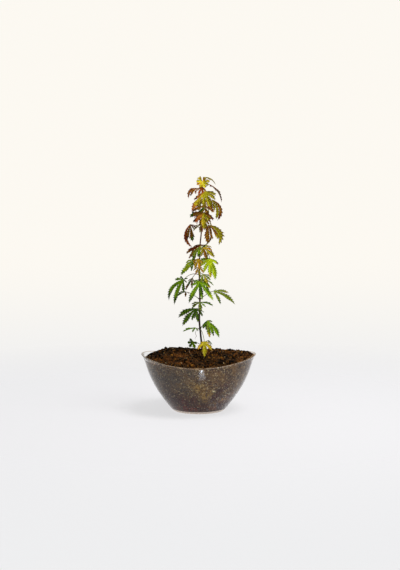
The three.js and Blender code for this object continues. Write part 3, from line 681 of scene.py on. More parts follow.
# Each leaf: where on the stem, the way its stalk goes, how far out and up its blade hangs, the way the
# blade looks and slopes, its lobes, as angle, length and where they differ a droop and a width, and
# the tints of the lobes and, where they have turned first, of their outer parts. A leaf may have a web
# or teeth of its own depth.
LEAVES = {
    "foot_left": dict(
        at=7, toward=178, out=13.5, up=5.2, facing=-95, tilt=72, cut=FULL, web=0.5, tint="green",
        tints="dark dark dark green dark",
        lobes=[(-150, 7, 0.4, 0.9), (-92, 8, 0.4, 0.9), (-35, 9.5, 0.4, 0.9), (22, 10, 0.4, 0.9),
               (80, 7, 0.4, 0.9)]),
    "foot_back": dict(at=8, toward=40, out=13, up=5, tilt=50, size=10, tint="green"),
    "tier2_yellow": dict(
        at=31, toward=-79, out=33, up=-14, arch=9, facing=-90, tilt=46, droop=0.1, cut=BROAD,
        depth=0.4, tint="yellow",
        tints="straw straw olive straw straw", tips="straw tan olive straw tan",
        lobes=[(-74, 7), (-37, 17.5, 0.1, 1.2), (0, 28, 0.1, 1.05), (37, 19, 0.1, 1.2), (74, 9)]),
    "tier2_right": dict(
        at=32, toward=-36, out=13.4, up=13, facing=-75, tilt=66, droop=0.4, cut=BROAD, tint="green",
        tints="dark moss green green moss", tips="dark straw dark green dark",
        lobes=[(-40, 14, 0.4, 1.3), (4, 26, 0.4, 0.9), (22, 25, 0.4, 0.8), (39, 31, 0.4, 0.8), (95, 8)]),
    "tier2_left": dict(
        at=31, toward=185, out=6.5, up=2, facing=-90, tilt=15, tint="green",
        lobes=[(-150, 8, 0.4, 1.4), (-84, 20, 0.3, 1.9), (-30, 11, 0.4, 1.8), (30, 8, 0.4, 1.4)]),
    "tier2_back": dict(at=33, toward=50, out=16, up=5, tilt=35, size=22, tint="green"),
    "tier3_left": dict(
        at=59, toward=-102, out=22.5, up=5.6, facing=-100, tilt=62, droop=0.3, tint="dark",
        lobes=[(-84, 31, 0.5, 1.5), (-50, 33, 0.55, 1.6), (-20, 19, 0.4, 1.5), (13, 22, 0.3, 1.5),
               (50, 15, 0.3, 1.3)]),
    "tier3_back": dict(at=60, toward=105, out=14, up=-1, tilt=30, size=24, tint="dark"),
    "tier4_front": dict(
        at=70, toward=-90, out=14, up=2.9, facing=-90, tilt=25, tint="olive",
        tints="moss moss moss green dark",
        lobes=[(-100, 13, 0.4, 1.8), (-50, 17, 0.4, 1.8), (6, 19, 0.4, 1.9), (52, 12, 0.4, 1.4),
               (96, 21, 0.4, 1.7)]),
    "tier5_left": dict(
        at=76, toward=170, out=21.5, up=11, facing=-100, tilt=20, tint="bronze",
        tints="dark dark bronze bronze",
        lobes=[(-110, 13, 0.4, 1.5), (-55, 18, 0.4, 1.5), (8, 12, 0.4, 1.5), (70, 6)]),
    "tier5_right": dict(
        at=76, toward=2, out=21, up=12.6, facing=-70, tilt=48, droop=0.35, tint="green",
        tints="green moss moss moss dark", tips="green dark moss olive dark",
        lobes=[(-10, 7), (17, 24, 0.35, 1.2), (62, 38, 0.35, 1.15), (100, 26, 0.35, 1.2), (138, 7)]),
    "tier6_front": dict(
        at=100, toward=-90, out=25, up=4.3, facing=-90, tilt=68, droop=0.25, cut=BROAD,
        tint="green", web=0.3,
        tints="green green green dark green green", tips="dark green dark green lime olive",
        lobes=[(-114, 10), (-74, 13), (-29, 36, 0.2, 0.67), (10, 28, 0.25, 0.66),
               (41, 35, 0.25, 0.66), (76, 19, 0.4, 0.9)]),
    "tier6_left": dict(
        at=99, toward=152, out=13.4, up=4.3, facing=-110, tilt=60, tint="bronze",
        lobes=[(-75, 6), (-32, 17, 0.4, 1.3), (5, 7), (45, 5)]),
    "tier6_back": dict(at=102, toward=75, out=15, up=3, tilt=15, size=28, tint="green"),
    "tier7_left": dict(
        at=113, toward=204, out=25.8, up=-7, arch=9, facing=-112, tilt=70, cut=BROAD,
        tint="dark", web=0.24,
        tints="dark green green green dark dark dark", tips="dark dark dark dark dark dark dark",
        lobes=[(-150, 10), (-112, 15), (-70, 41, 1, 0.55), (-32, 40, 0.9, 0.58), (10, 20, 0.4, 0.85),
               (70, 7), (140, 7)]),
    "tier7_right": dict(
        at=113, toward=-70, out=17, up=1.6, facing=-80, tilt=45, tint="olive",
        tints="moss moss olive moss moss",
        lobes=[(-60, 9, 0.4, 1.8), (-22, 15, 0.4, 2.3), (15, 18, 0.4, 2.3), (52, 14, 0.4, 2.0),
               (90, 12)]),
    "tier7_mid": dict(
        at=118, toward=-146, out=12.6, up=-9.5, arch=4, facing=-100, tilt=66, tint="dark",
        tints="bronze dark bronze olive",
        lobes=[(-66, 8), (-32, 14, 0.4, 1.3), (2, 16, 0.4, 1.3), (36, 11)]),
    "tier7_low": dict(
        at=110, toward=-60, out=13.8, up=-6.1, arch=4, facing=-80, tilt=66, tint="dark",
        tints="olive green dark green",
        lobes=[(-38, 12), (-4, 15, 0.4, 1.3), (28, 16, 0.4, 1.3), (62, 11)]),
    "tier8_left": dict(
        at=116, toward=150, out=9.8, up=13.6, facing=-95, tilt=58, tint="green",
        tints="lime lime green tan", tips="lime green green bronze",
        lobes=[(-118, 15, 0.8, 1.6), (-55, 27, 0.4, 1.6), (-18, 13, 0.4, 1.4), (26, 8)]),
    "tier8_low": dict(
        at=122, toward=-94, out=14, up=3.7, facing=-92, tilt=68, tint="olive",
        tints="tan amber olive tan olive", tips="tan russet olive amber olive",
        lobes=[(-70, 10), (-28, 13, 0.4, 1.5), (10, 14.5, 0.4, 1.5), (46, 12, 0.4, 1.4), (84, 7)]),
    "tier8_front": dict(
        at=130, toward=-96, out=18, up=8, facing=-95, tilt=65, cut=BROAD, tint="tan",
        tints="tan tan amber tan",
        lobes=[(-62, 10), (-22, 16), (15, 17), (52, 11)]),
    "tier8_upper": dict(
        at=133, toward=-142, out=11.4, up=2.5, facing=-105, tilt=58, tint="green",
        tints="lime lime green tan",
        lobes=[(-88, 13, 0.5, 1.2), (-54, 17, 0.4, 1.3), (-18, 13, 0.4, 1.2), (22, 9)]),
    "tier8_back": dict(at=131, toward=65, out=15, up=3, tilt=20, size=26, tint="lime"),
    "tier9_right": dict(
        at=156, toward=-36, out=18, up=-18.6, arch=14, facing=-90, tilt=75, droop=0.2, cut=BROAD,
        tint="lime",
        tints="green lime lime lime lime lime", tips="green lime lime yellow lime olive",
        lobes=[(-92, 14, 0.1, 0.9), (-60, 18, 0.3, 0.9), (-28, 23, 0.2, 0.85), (2, 29, 0.2, 0.85),
               (30, 33, 1.1, 0.8), (62, 15)]),
    "tier9_front": dict(
        at=155, toward=-89, out=22, up=1.7, facing=-90, tilt=60, tint="dark",
        tints="maroon maroon moss green olive olive", tips="maroon bronze dark dark olive amber",
        lobes=[(-110, 9), (-78, 24, 0.45, 1.4), (-46, 26, 0.9, 1.5), (-12, 18, 0.4, 2.0),
               (26, 12, 0.4, 1.5), (62, 8)]),
    "tier9_low": dict(
        at=149, toward=-70, out=16, up=4.8, facing=-86, tilt=66, tint="bronze",
        tints="olive olive bronze olive amber",
        lobes=[(-64, 9), (-24, 14, 0.4, 1.7), (16, 19, 0.4, 1.7), (52, 22, 0.2, 1.7),
               (92, 13, 0.4, 1.3)]),
    "tier9_left": dict(
        at=149, toward=-119, out=10.3, up=4.3, facing=-98, tilt=66, tint="maroon",
        tints="maroon bronze olive olive",
        lobes=[(-80, 17, 0.5, 1.2), (-38, 20, 0.3, 1.2), (-10, 19, 0.4, 1.3), (28, 10)]),
    "tier9_back": dict(at=157, toward=92, out=13, up=0, tilt=25, size=22, tint="olive"),
    "tier10_left": dict(
        at=181, toward=204, out=18.2, up=6.7, facing=-108, tilt=70, tint="maroon",
        tints="red bronze bronze bronze maroon", tips="red maroon dark dark maroon",
        lobes=[(-37, 38, 2.3, 0.85), (-10, 25, 0.1, 2.2), (15, 27, 0.1, 2.2), (50, 11), (78, 12)]),
    "tier10_right": dict(
        at=181, toward=27, out=12, up=5.2, facing=-72, tilt=72, tint="bronze",
        tints="bronze bronze bronze bronze olive", tips="bronze bronze olive olive olive",
        lobes=[(-12, 28, 0.4, 2.2), (14, 22, 0.4, 1.9), (36, 38, 2.8, 0.4), (50, 26, 0.7, 2.0),
               (72, 37, 1.25, 1.9)]),
    "tier10_back": dict(at=182, toward=95, out=13, up=5, tilt=25, size=22, tint="olive"),
    "tier11_front": dict(
        at=198, toward=-87, out=22, up=7.7, facing=-90, tilt=62, droop=0.2, cut=BROAD, tint="amber",
        tints="bronze russet straw olive bronze", tips="dark red olive bronze maroon",
        lobes=[(-84, 21, 0.3, 1.3), (-42, 20), (2, 27), (40, 19), (70, 19, 0.5)]),
    "tier11_low": dict(
        at=190, toward=-87, out=12, up=10.5, facing=-90, tilt=64, tint="red",
        tints="red bronze olive olive", tips="maroon maroon bronze bronze",
        lobes=[(-66, 17, 0.3, 1.4), (-20, 16, 0.4, 1.4), (18, 25, 0.3, 1.3), (44, 17, 0.4, 1.4)]),
    "tier11_back": dict(
        at=199, toward=88, out=12, up=6, tilt=30, size=22, cut=BROAD, tint="olive",
        tints="green dark olive dark green"),
    "tier12_front": dict(
        at=226, toward=-82, out=20, up=10.5, facing=-90, tilt=66, droop=0.15, cut=BROAD, tint="amber",
        tints="russet straw olive olive olive olive", tips="maroon russet olive bronze olive olive",
        lobes=[(-60, 21, 0.3, 0.7), (-35, 37, 0.15, 0.8), (-8, 24), (21, 34), (54, 20),
               (84, 17, 0.3, 1.2)]),
    "tier12_low": dict(
        at=212, toward=-84, out=15.1, up=2.7, facing=-90, tilt=70, droop=0.3, tint="bronze",
        tints="russet dark green bronze bronze", tips="maroon dark bronze dark russet",
        lobes=[(-76, 20, 0.3, 1.3), (-40, 16, 0.3, 1.5), (-4, 8, 0.3, 1.4), (34, 16, 0.3, 1.4),
               (70, 18, 0.3, 1.3)]),
    "tier12_right": dict(
        at=218, toward=32, out=16.8, up=5.6, facing=-66, tilt=68, tint="olive",
        tints="olive olive olive bronze", tips="olive olive olive maroon",
        lobes=[(-30, 10, 0.4, 1.5), (2, 17, 0.4, 1.9), (34, 30, 1.5, 2.4), (62, 36, 1.6, 1.1)]),
    "tier12_back": dict(
        at=219, toward=105, out=11, up=5, tilt=40, size=22, cut=BROAD, tint="amber",
        tints="russet amber olive amber russet"),
    "tier13_left": dict(
        at=239, toward=150, out=9.9, up=1.8, facing=-108, tilt=66, tint="red",
        tints="russet russet red", tips="red maroon red",
        lobes=[(-90, 22, 1.1, 1.35), (-54, 15, 0.6, 1.4), (-6, 9)]),
    "tier13_front": dict(
        at=238, toward=-98, out=10.5, up=4.9, facing=-96, tilt=70, cut=BROAD, tint="red",
        tints="russet red red russet", tips="amber russet amber amber",
        lobes=[(-66, 9), (-26, 13), (14, 13), (54, 10)]),
    "tier13_right": dict(
        at=239, toward=0, out=10, up=7.8, facing=5, tilt=28, tint="maroon",
        tints="maroon bronze bronze maroon maroon", tips="maroon bronze maroon maroon maroon",
        lobes=[(-75, 10), (-38, 18), (0, 33, 0.9, 1.5), (38, 18), (75, 10)]),
    "tip_front": dict(
        at=246, toward=-90, out=7, up=4.2, facing=-90, tilt=55, droop=0.1, cut=FULL, tint="yellow",
        tints="straw yellow amber straw yellow olive straw amber",
        lobes=[(-150, 11), (-105, 9.5), (-64, 9.5), (-20, 10), (22, 11), (62, 10), (104, 11), (150, 9)]),
    "tip_back": dict(
        at=247, toward=60, out=3, up=10.5, facing=0, tilt=0, tint="olive",
        lobes=[(-70, 13, 0.4, 1.3), (-32, 16, 0.4, 1.3), (5, 22, 0.7), (42, 15, 0.4, 1.3),
               (80, 12, 0.4, 1.3)]),
}

# Each tint's blade, margin and veins, and the name of one of the record's slots
# Each tint's second colour is darker than its blade: painted shade at the lobes' edges and tips, partly
# autumn colour
TINTS = {
    "green": ((0.44, 0.60, 0.07), (0.33, 0.49, 0.05), (0.66, 0.75, 0.20), "leaf_green"),
    "moss": ((0.43, 0.50, 0.13), (0.33, 0.38, 0.09), (0.60, 0.64, 0.26), "leaf_green"),
    "dark": ((0.22, 0.37, 0.05), (0.12, 0.22, 0.03), (0.50, 0.60, 0.18), "leaf_green"),
    "lime": ((0.72, 0.80, 0.09), (0.62, 0.74, 0.06), (0.86, 0.92, 0.34), "leaf_lime"),
    "yellow": ((0.80, 0.76, 0.10), (0.72, 0.65, 0.08), (0.90, 0.88, 0.34), "leaf_lime"),
    "straw": ((0.70, 0.64, 0.10), (0.62, 0.50, 0.07), (0.84, 0.78, 0.28), "leaf_lime"),
    "olive": ((0.60, 0.57, 0.08), (0.48, 0.40, 0.05), (0.74, 0.72, 0.24), "leaf_olive"),
    "amber": ((0.76, 0.60, 0.07), (0.68, 0.40, 0.05), (0.87, 0.78, 0.24), "leaf_olive"),
    "tan": ((0.73, 0.60, 0.13), (0.60, 0.40, 0.08), (0.82, 0.76, 0.32), "leaf_olive"),
    "russet": ((0.67, 0.43, 0.12), (0.58, 0.25, 0.08), (0.82, 0.64, 0.26), "leaf_olive"),
    "bronze": ((0.50, 0.34, 0.08), (0.38, 0.18, 0.05), (0.66, 0.50, 0.18), "leaf_red"),
    "red": ((0.66, 0.31, 0.12), (0.54, 0.18, 0.08), (0.82, 0.53, 0.24), "leaf_red"),
    "maroon": ((0.36, 0.16, 0.06), (0.27, 0.08, 0.05), (0.54, 0.27, 0.12), "leaf_red"),
}
PARTS = ("blade", "margin", "vein")
UNDERSIDE_PALER = 0.28
PALEST_UNDERSIDE = 0.66


def leaf_skin(name, colour, roughness):
    """A living leaf's skin: mottled, finely puckered, satin, and aglow where light comes through it."""
    if name in bpy.data.materials:
        return bpy.data.materials[name]
    leaf = Finish(name)
    mottle = leaf.stretched(leaf.noise(260, detail=4, roughness=0.6), 0.3, 0.7, 0.78, 1.18)
    leaf.set(Base_Color=leaf.blend(1.0, colour, mottle, "MULTIPLY"), Specular_IOR_Level=0.06)
    leaf.set(Roughness=leaf.stretched(leaf.noise(900), 0.3, 0.7, roughness - 0.08, roughness + 0.1))
    leaf.set(Subsurface_Weight=0.3, Subsurface_Radius=(1.0, 1.0, 0.25), Subsurface_Scale=0.0006)
    leaf.relief(leaf.noise(1800, detail=2), 0.35, 0.0002)
    return leaf.material


def skins_of(tint):
    """The blade, margin and vein skins of one tint, above and then below."""
    shades = TINTS[tint][:3]
    paler = [tuple(c + (PALEST_UNDERSIDE - c) * UNDERSIDE_PALER for c in shade) for shade in shades]
    above = [leaf_skin(f"{tint}_{part}", shade, 0.42) for part, shade in zip(PARTS, shades)]
    below = [leaf_skin(f"{tint}_{part}_below", shade, 0.6) for part, shade in zip(PARTS, paler)]
    return above, below


def smooth_line(knots, share):
    """The height at share of a smooth line through knots of share and height."""
    last = len(knots) - 1
    i = next((k for k in range(last) if share <= knots[k + 1][0]), last - 1)
    (x0, y0), (x1, y1) = knots[i], knots[i + 1]
    before, after = knots[max(i - 1, 0)], knots[min(i + 2, last)]
    lean0, lean1 = (y1 - before[1]) / (x1 - before[0]), (after[1] - y0) / (after[0] - x0)
    t, span = (share - x0) / (x1 - x0), x1 - x0
    return (
        y0 * (1 + 2 * t) * (1 - t) ** 2 + lean0 * span * t * (1 - t) ** 2
        + y1 * t * t * (3 - 2 * t) + lean1 * span * t * t * (t - 1)
    )


def blade_plane(facing, tilt):
    """A blade's flat plane before it droops: the way it faces, the way down its slope, and one side."""
    f, t = math.radians(facing), math.radians(tilt)
    normal = Vector((math.sin(t) * math.cos(f), math.sin(t) * math.sin(f), math.cos(t)))
    slope = Vector((math.cos(t) * math.cos(f), math.cos(t) * math.sin(f), -math.sin(t)))
    return normal, slope, normal.cross(slope)


def midrib(hub, plane, angle, length, droop, sway):
    """One lobe's midrib, an arc that leaves the hub in the blade's plane and turns to the ground."""
    normal, slope, side = plane
    along = slope * math.cos(angle) + side * math.sin(angle)
    turn = max(1e-4, droop * along.angle(DOWN))
    axis = along.cross(DOWN)
    if axis.length < 0.02:
        axis = normal.cross(along)
    axis.normalize()
    inward, across = axis.cross(along), normal.cross(along)

    def rib(share):
        bend = turn * share
        swing = Matrix.Rotation(bend, 3, axis)
        point = hub + along * (length * math.sin(bend) / turn)
        point += inward * (length * (1 - math.cos(bend)) / turn)
        square = swing @ across
        return point + square * (sway * length * math.sin(math.pi * share)), square, swing @ normal

    return rib


def room_beside(place, spines, way):
    """How far an edge can stand out on one side of a place on a midrib before it meets another lobe."""
    point, square, _ = place
    gaps = [there - point for spine in spines for there in spine]
    return LOBE_ROOM * min((gap.length / 2 for gap in gaps if gap.dot(square) * way > 0), default=1)


def toothed_rows(length, root, depth):
    """Rows over a lobe's free part: its share, how wide, how far forward, and if on a side vein."""
    teeth = max(3, round(length / MM * (1 - root) / TOOTH))
    step = TOOTHED_SHARE / teeth
    rows = []
    for tooth in range(teeth):
        start = tooth * step
        if tooth:
            rows.append((start, 1 - 0.42 * depth, 0, False))
        rows += [(start + 0.22 * step, 0.95, 0.12 * step, False),
                 (start + 0.38 * step, 1 - 0.24 * depth, 0, False),
                 (start + 0.66 * step, 1 + 0.18 * depth, 0.35 * step * depth, True),
                 (start + 0.78 * step, 1 + 0.44 * depth, 0.85 * step * depth, True)]
    return rows + [(TOOTHED_SHARE, 0.8, 0, False), (0.91, 0.9, 0, False), (0.955, 0.9, 0, False),
                   (1, 0, 0, False)]


def leaf_sheet(hub, leaf, lobes, chance):
    """One blade as a sheet: corners, faces, and each face's lobe, if it lies in the lobe's outer part
    that has turned colour first, and its part, 0 blade, 1 margin or 2 vein."""
    cut = leaf.get("cut", CUT)
    plane = blade_plane(leaf["facing"], leaf["tilt"])
    ribs = [midrib(hub, plane, math.radians(angle), length, droop, chance.uniform(-LOBE_SWAY, LOBE_SWAY))
            for angle, length, droop, _ in lobes]
    ahead = math.radians((lobes[0][0] + lobes[-1][0]) / 2)
    heel = hub - (plane[1] * math.cos(ahead) + plane[2] * math.sin(ahead)) * HEEL
    reaches = [leaf.get("web", cut["web"]) * min(a[1], b[1]) for a, b in zip(lobes, lobes[1:])]
    web_rows = max(2, round(max(reaches) / WEB_ROW))
    spines = [[rib(step / SPINE_STEPS)[0] for step in range(1, SPINE_STEPS + 1)] for rib in ribs]

    def seam(k, share):
        """A point of the line that lobes k and k + 1 share, or at either end of the fan, of the heel."""
        if k < 0 or k >= len(reaches):
            return hub.lerp(heel, share)
        a, b = [ribs[n](share * reaches[k] / lobes[n][1])[0] for n in (k, k + 1)]
        return a.lerp(b, 0.5)

    def edge_of(k, side, half, ruffle):
        """One edge of lobe k: its points by share of the lobe's free part, its first step out to the
        notch, the share over which that step fades, and the seam that it starts from."""
        rib, length, n = ribs[k], lobes[k][1], k - 1 if side < 0 else k
        outer = not 0 <= n < len(reaches)
        start = FAN_EDGE_STARTS_AT if outer else reaches[n] / length
        point, square, _ = rib(start)
        notch = seam(n, 1)
        outline = [(start, max(0.0003, abs((notch - point).dot(square))))]
        outline += [(share, wide * half) for share, wide in cut["outline"] if share > start + 0.05]
        outline.append((1, 0))
        others = spines[:k] + spines[k + 1 :]
        places = np.linspace(start, 1, 9)
        rooms = [room_beside(rib(share), others, side) for share in places]

        def edge(free, wide, forward):
            point, square, normal = rib(min(1, start + (1 - start) * (free + forward)))
            out = max(0, smooth_line(outline, start + (1 - start) * free))
            out = min(out, np.interp(start + (1 - start) * free, places, rooms)) * wide
            wave = EDGE_WAVE * out * math.sin(14 * free + ruffle + side)
            return point + square * (side * out) + normal * (out * BLADE_FOLD + wave)

        return edge, notch - edge(0, 1, 0), FAN_EDGE_FADE if outer else NOTCH_FADE, n

    corners, faces, parts = [], [], []
    for k, (_, length, _, width) in enumerate(lobes):
        rib, half = ribs[k], length * cut["half"] * width
        near = [reaches[n] for n in (k - 1, k) if 0 <= n < len(reaches)]
        root = 0.5 * min(near) / length
        ruffle = chance.uniform(0, math.tau)
        edges = [edge_of(k, side, half, ruffle) for side in (-1, 1)]

        # Each row across the lobe: its two ends, its middle, the way up there, how much its pleats
        # stand up, if a side vein runs there, and its share of the lobe's length
        rows = []
        for row in range(1, web_rows + 1):
            share = row / web_rows
            middle, _, normal = rib(root * share)
            rows.append(([seam(n, share) for *_, n in edges], middle, normal, 0, False, root * share))
        for free, wide, forward, vein in toothed_rows(length, root, leaf.get("depth", TOOTH_DEPTH)):
            base = root + (1 - root) * (free - 0.05 * math.sin(math.pi * free))
            middle, _, normal = rib(base)
            ends = []
            for edge, first, fade, _ in edges:
                left = max(0, 1 - free / fade)
                ends.append(edge(free, wide, forward) + first * left * left * (3 - 2 * left))
            rows.append((ends, middle, normal, 0 if vein else 1, vein, base))
        first_corner = len(corners)
        corners += [hub] * 7
        for (left_end, right_end), middle, normal, raised, _, _ in rows:
            spans = [max(1e-6, (end - middle).length) for end in (left_end, right_end)]
            lift = [normal * (PLEAT * min(1, span / PLEAT_FULL_FROM) * raised) for span in spans]
            shares = [min(0.4, MIDRIB_HALF / span) for span in spans]
            sunk = normal * (MIDRIB_SUNK * min(1, min(spans) / 0.001))
            corners += [left_end, middle.lerp(left_end, SIDE_VEIN_AT) + lift[0],
                        middle.lerp(left_end, shares[0]), middle - sunk,
                        middle.lerp(right_end, shares[1]),
                        middle.lerp(right_end, SIDE_VEIN_AT) + lift[1], right_end]
        veins = [False] + [row[4] for row in rows]
        shares_along = [0] + [row[5] for row in rows]
        for row in range(len(rows)):
            for column in range(6):
                a = first_corner + row * 7 + column
                faces.append((a, a + 7, a + 8, a + 1))
                side_vein = veins[row] and veins[row + 1] and column not in (0, 5)
                vein = column in (2, 3) or side_vein
                # The outer columns and the last rows take the darker second colour, painted shade at the
                # lobe's edge and tip
                margin = column in (0, 5) and row > web_rows or row > len(rows) - 4
                turned = shares_along[row] > TURNED_FROM[min(column, 5 - column)]
                parts.append((k, turned, 2 if vein else 1 if margin else 0))
    return corners, faces, parts


def tube(rings, sides):
    """Corners and faces of a closed tube through rings, each a middle, the way it runs and its radius,
    which may differ round the ring."""
    corners, faces = [], []
    for middle, along, radius in rings:
        first, second = frame_round(along)
        for side in range(sides):
            turn = side / sides * math.tau
            wide = radius(turn) if callable(radius) else radius
            corners.append(middle + (first * math.cos(turn) + second * math.sin(turn)) * wide)
    for ring in range(len(rings) - 1):
        for side in range(sides):
            a, b = ring * sides + side, ring * sides + (side + 1) % sides
            faces.append((a, b, b + sides, a + sides))
    last = (len(rings) - 1) * sides
    return corners, faces + [tuple(range(sides - 1, -1, -1)), tuple(range(last, last + sides))]


def stalk_tube(stem_place, away, hub, arch):
    """A stalk's corners and faces: a tube from inside the stem, swollen at its foot, to the hub."""
    middle, _, radius = stem_place
    bend = middle.lerp(hub, STALK_BEND_SHARE) + UP * arch
    start = middle + away * radius * 0.4
    rings = []
    for ring in range(STALK_RINGS + 1):
        t = ring / STALK_RINGS
        point = start * (1 - t) ** 2 + bend * 2 * t * (1 - t) + hub * t * t
        along = ((bend - start) * (1 - t) + (hub - bend) * t).normalized()
        swollen = 0.92 - 0.12 * t + 0.95 * math.exp(-t / 0.05) + 0.25 * math.exp(-(1 - t) / 0.04)
        rings.append((point, along, STALK_RADIUS * swollen))
    return tube(rings, STALK_SIDES)


def joined(pieces):
    """Several pieces made one, under the name of the first."""
    bpy.ops.object.select_all(action="DESELECT")
    for piece in pieces:
        piece.select_set(True)
    bpy.context.view_layer.objects.active = pieces[0]
    bpy.ops.object.join()
    bpy.ops.object.shade_smooth_by_angle(angle=math.radians(38))
    return pieces[0]


def grown_leaf(name, leaf):
    """One leaf with its stalk, as one piece."""
    chance = random.Random(name)
    leaf = {"facing": leaf["toward"], "tilt": 20, "arch": STALK_ARCH * leaf["out"], "droop": 0.4, **leaf}
    sizes = leaf.get("lobes") or [(angle, share * leaf["size"]) for angle, share in PLAIN_LOBES]
    lobes = [(*lobe, leaf["droop"], 1)[:4] if len(lobe) == 2 else (*lobe, 1)[:4] for lobe in sizes]
    lobes = [(angle, length * MM, droop, width) for angle, length, droop, width in lobes]
    stem_place = stem_at(leaf["at"] * MM)
    away = on_circle(math.radians(leaf["toward"]), 1, 0)
    hub = stem_place[0] + away * leaf["out"] * MM + UP * leaf["up"] * MM
    corners, faces, parts = leaf_sheet(hub, leaf, lobes, chance)
    tints = leaf["tints"].split() if "tints" in leaf else [leaf["tint"]] * len(lobes)
    tips = leaf["tips"].split() if "tips" in leaf else tints
    used = sorted(set(tints + tips))
    looks = [3 * used.index((tips if turned else tints)[lobe]) + part for lobe, turned, part in parts]
    blade = mesh_piece(name, corners, faces, looks)
    pairs = [skins_of(tint) for tint in used]
    for skin in [s for above, _ in pairs for s in above] + [s for _, below in pairs for s in below]:
        blade.data.materials.append(skin)
    sheet = bmesh.new()
    sheet.from_mesh(blade.data)
    bmesh.ops.remove_doubles(sheet, verts=sheet.verts, dist=0.00002)
    sheet.to_mesh(blade.data)
    sheet.free()
    thick = blade.modifiers.new("thick", "SOLIDIFY")
    thick.thickness = BLADE
    thick.offset = 0
    thick.material_offset = 3 * len(used)
    bpy.ops.object.modifier_apply(modifier=thick.name)

    # The stalk has as many material slots as the blade, so that joining them keeps each number
    if leaf["at"] > RED_STALKS_ABOVE:
        blade.data.materials.append(leaf_skin("red_stalk", (0.42, 0.17, 0.11), 0.38))
    else:
        blade.data.materials.append(leaf_skin("green_stalk", (0.42, 0.44, 0.16), 0.4))
    slots = len(blade.data.materials)
    stalk_corners, stalk_faces = stalk_tube(stem_place, away, hub, leaf["arch"] * MM)
    stalk = mesh_piece("stalk", stalk_corners, stalk_faces)
    for _ in range(slots):
        stalk.data.materials.append(blade.data.materials[-1])
    stalk.data.polygons.foreach_set("material_index", [slots - 1] * len(stalk_faces))
    return joined([blade, stalk])


for name, leaf in LEAVES.items():
    blade = grown_leaf(f"leaf_{name}_fine", leaf)
    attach(blade, "root")
    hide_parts(f"leaf_{name}")


# The young leaves: small short-stalked ones that crowd the swellings in the upper half of the crown.
# Each is a leaf like the others, and all are one piece.
YOUNG = {
    "young_high_left": dict(
        at=239, toward=172, out=11.5, up=1.5, facing=-98, tilt=60, tint="russet",
        tints="red russet amber russet", tips="maroon red russet amber",
        lobes=[(-104, 9), (-66, 11), (-30, 10), (6, 8)]),
    "young_high_right": dict(
        at=226, toward=-30, out=8, up=2, facing=-70, tilt=66, size=12, tint="olive",
        tints="amber olive olive olive bronze"),
    "young_middle": dict(
        at=212, toward=-98, out=9, up=3, facing=-92, tilt=66, size=11, tint="yellow",
        tints="russet yellow yellow olive dark"),
    "young_right": dict(
        at=212, toward=-30, out=8.5, up=2, facing=-74, tilt=64, size=13, tint="olive",
        tints="olive amber olive olive bronze"),
    "young_left": dict(
        at=198, toward=-152, out=8, up=1.6, facing=-104, tilt=62, size=12, tint="maroon",
        tints="maroon russet russet bronze bronze"),
    "young_low_front": dict(
        at=181, toward=-80, out=7, up=4.4, facing=-88, tilt=72, size=9, tint="bronze",
        tints="maroon bronze russet bronze maroon"),
    "young_low_right": dict(
        at=156, toward=-28, out=11, up=1, facing=-72, tilt=66, size=17, tint="olive",
        tints="dark olive olive bronze olive"),
    "young_side_high": dict(
        at=218, toward=-172, out=9, up=4, facing=178, tilt=62, size=13, tint="amber",
        tints="russet amber amber olive bronze"),
    "young_side_right": dict(
        at=190, toward=8, out=10, up=5, facing=4, tilt=62, size=15, tint="olive",
        tints="bronze olive amber olive bronze"),
    "young_side_left": dict(
        at=156, toward=176, out=8, up=0, facing=182, tilt=64, size=15, tint="olive",
        tints="olive bronze olive dark olive"),
    "young_side_low": dict(
        at=140, toward=-4, out=9, up=4, facing=-6, tilt=64, size=17, tint="green",
        tints="green lime green dark olive"),
    "young_low_left": dict(
        at=133, toward=-165, out=9, up=3, facing=-108, tilt=60, size=13, tint="green",
        tints="lime green green dark bronze"),
}
young = joined([grown_leaf(name, leaf) for name, leaf in YOUNG.items()])
young.name = "young_leaves"
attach(young, "root")


# The buds: a small pointed one in the corner over each stalk, wrapped in two red-brown scales, and a
# pair of leaf buds at the stem's tip. Those along the stem's green middle are green.
BUD_SIDES = 8
BUD_OUTLINE = [(0, 0.55), (0.18, 0.9), (0.4, 1), (0.65, 0.72), (0.85, 0.36), (1, 0.05)]
SIDE_BUD_LENGTH, SIDE_BUD_RADIUS = 0.0016, 0.0005
TIP_BUD_LENGTH, TIP_BUD_RADIUS = 0.0024, 0.00055
GREEN_BUDS_FROM, GREEN_BUDS_TO = 60, 150
bud_corners, bud_faces, bud_looks = [], [], []


def bud(foot, along, length, radius, look):
    def scaly(share, wide):
        """The radius round one ring, where the edges of the two scales stand out."""
        return lambda turn: radius * wide * (1 + 0.12 * math.cos(2 * turn) * math.sin(math.pi * share))

    rings = [(foot + along * (length * share), along, scaly(share, wide)) for share, wide in BUD_OUTLINE]
    corners, faces = tube(rings, BUD_SIDES)
    start = len(bud_corners)
    bud_corners.extend(corners)
    bud_faces.extend(tuple(start + i for i in face) for face in faces)
    bud_looks.extend([look] * len(faces))


for leaf in LEAVES.values():
    middle, along, radius = stem_at((leaf["at"] + 1.5) * MM)
    away = on_circle(math.radians(leaf["toward"]), 1, 0)
    bud(middle + away * radius * 0.7, (away * 0.75 + along).normalized(), SIDE_BUD_LENGTH,
        SIDE_BUD_RADIUS, 1 if GREEN_BUDS_FROM < leaf["at"] < GREEN_BUDS_TO else 0)
tip, along, _ = stem_at(STEM_LENGTH)
for lean in (-0.35, 0.35):
    bud(tip - along * 0.0006, (along + Vector((lean, 0.1, 0))).normalized(), TIP_BUD_LENGTH,
        TIP_BUD_RADIUS, 0)
buds = mesh_piece("buds", bud_corners, bud_faces, bud_looks)
buds.data.materials.append(leaf_skin("red_bud", (0.40, 0.15, 0.10), 0.4))
buds.data.materials.append(leaf_skin("green_bud", (0.40, 0.44, 0.16), 0.4))
bpy.ops.object.shade_smooth_by_angle(angle=math.radians(40))
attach(buds, "root")


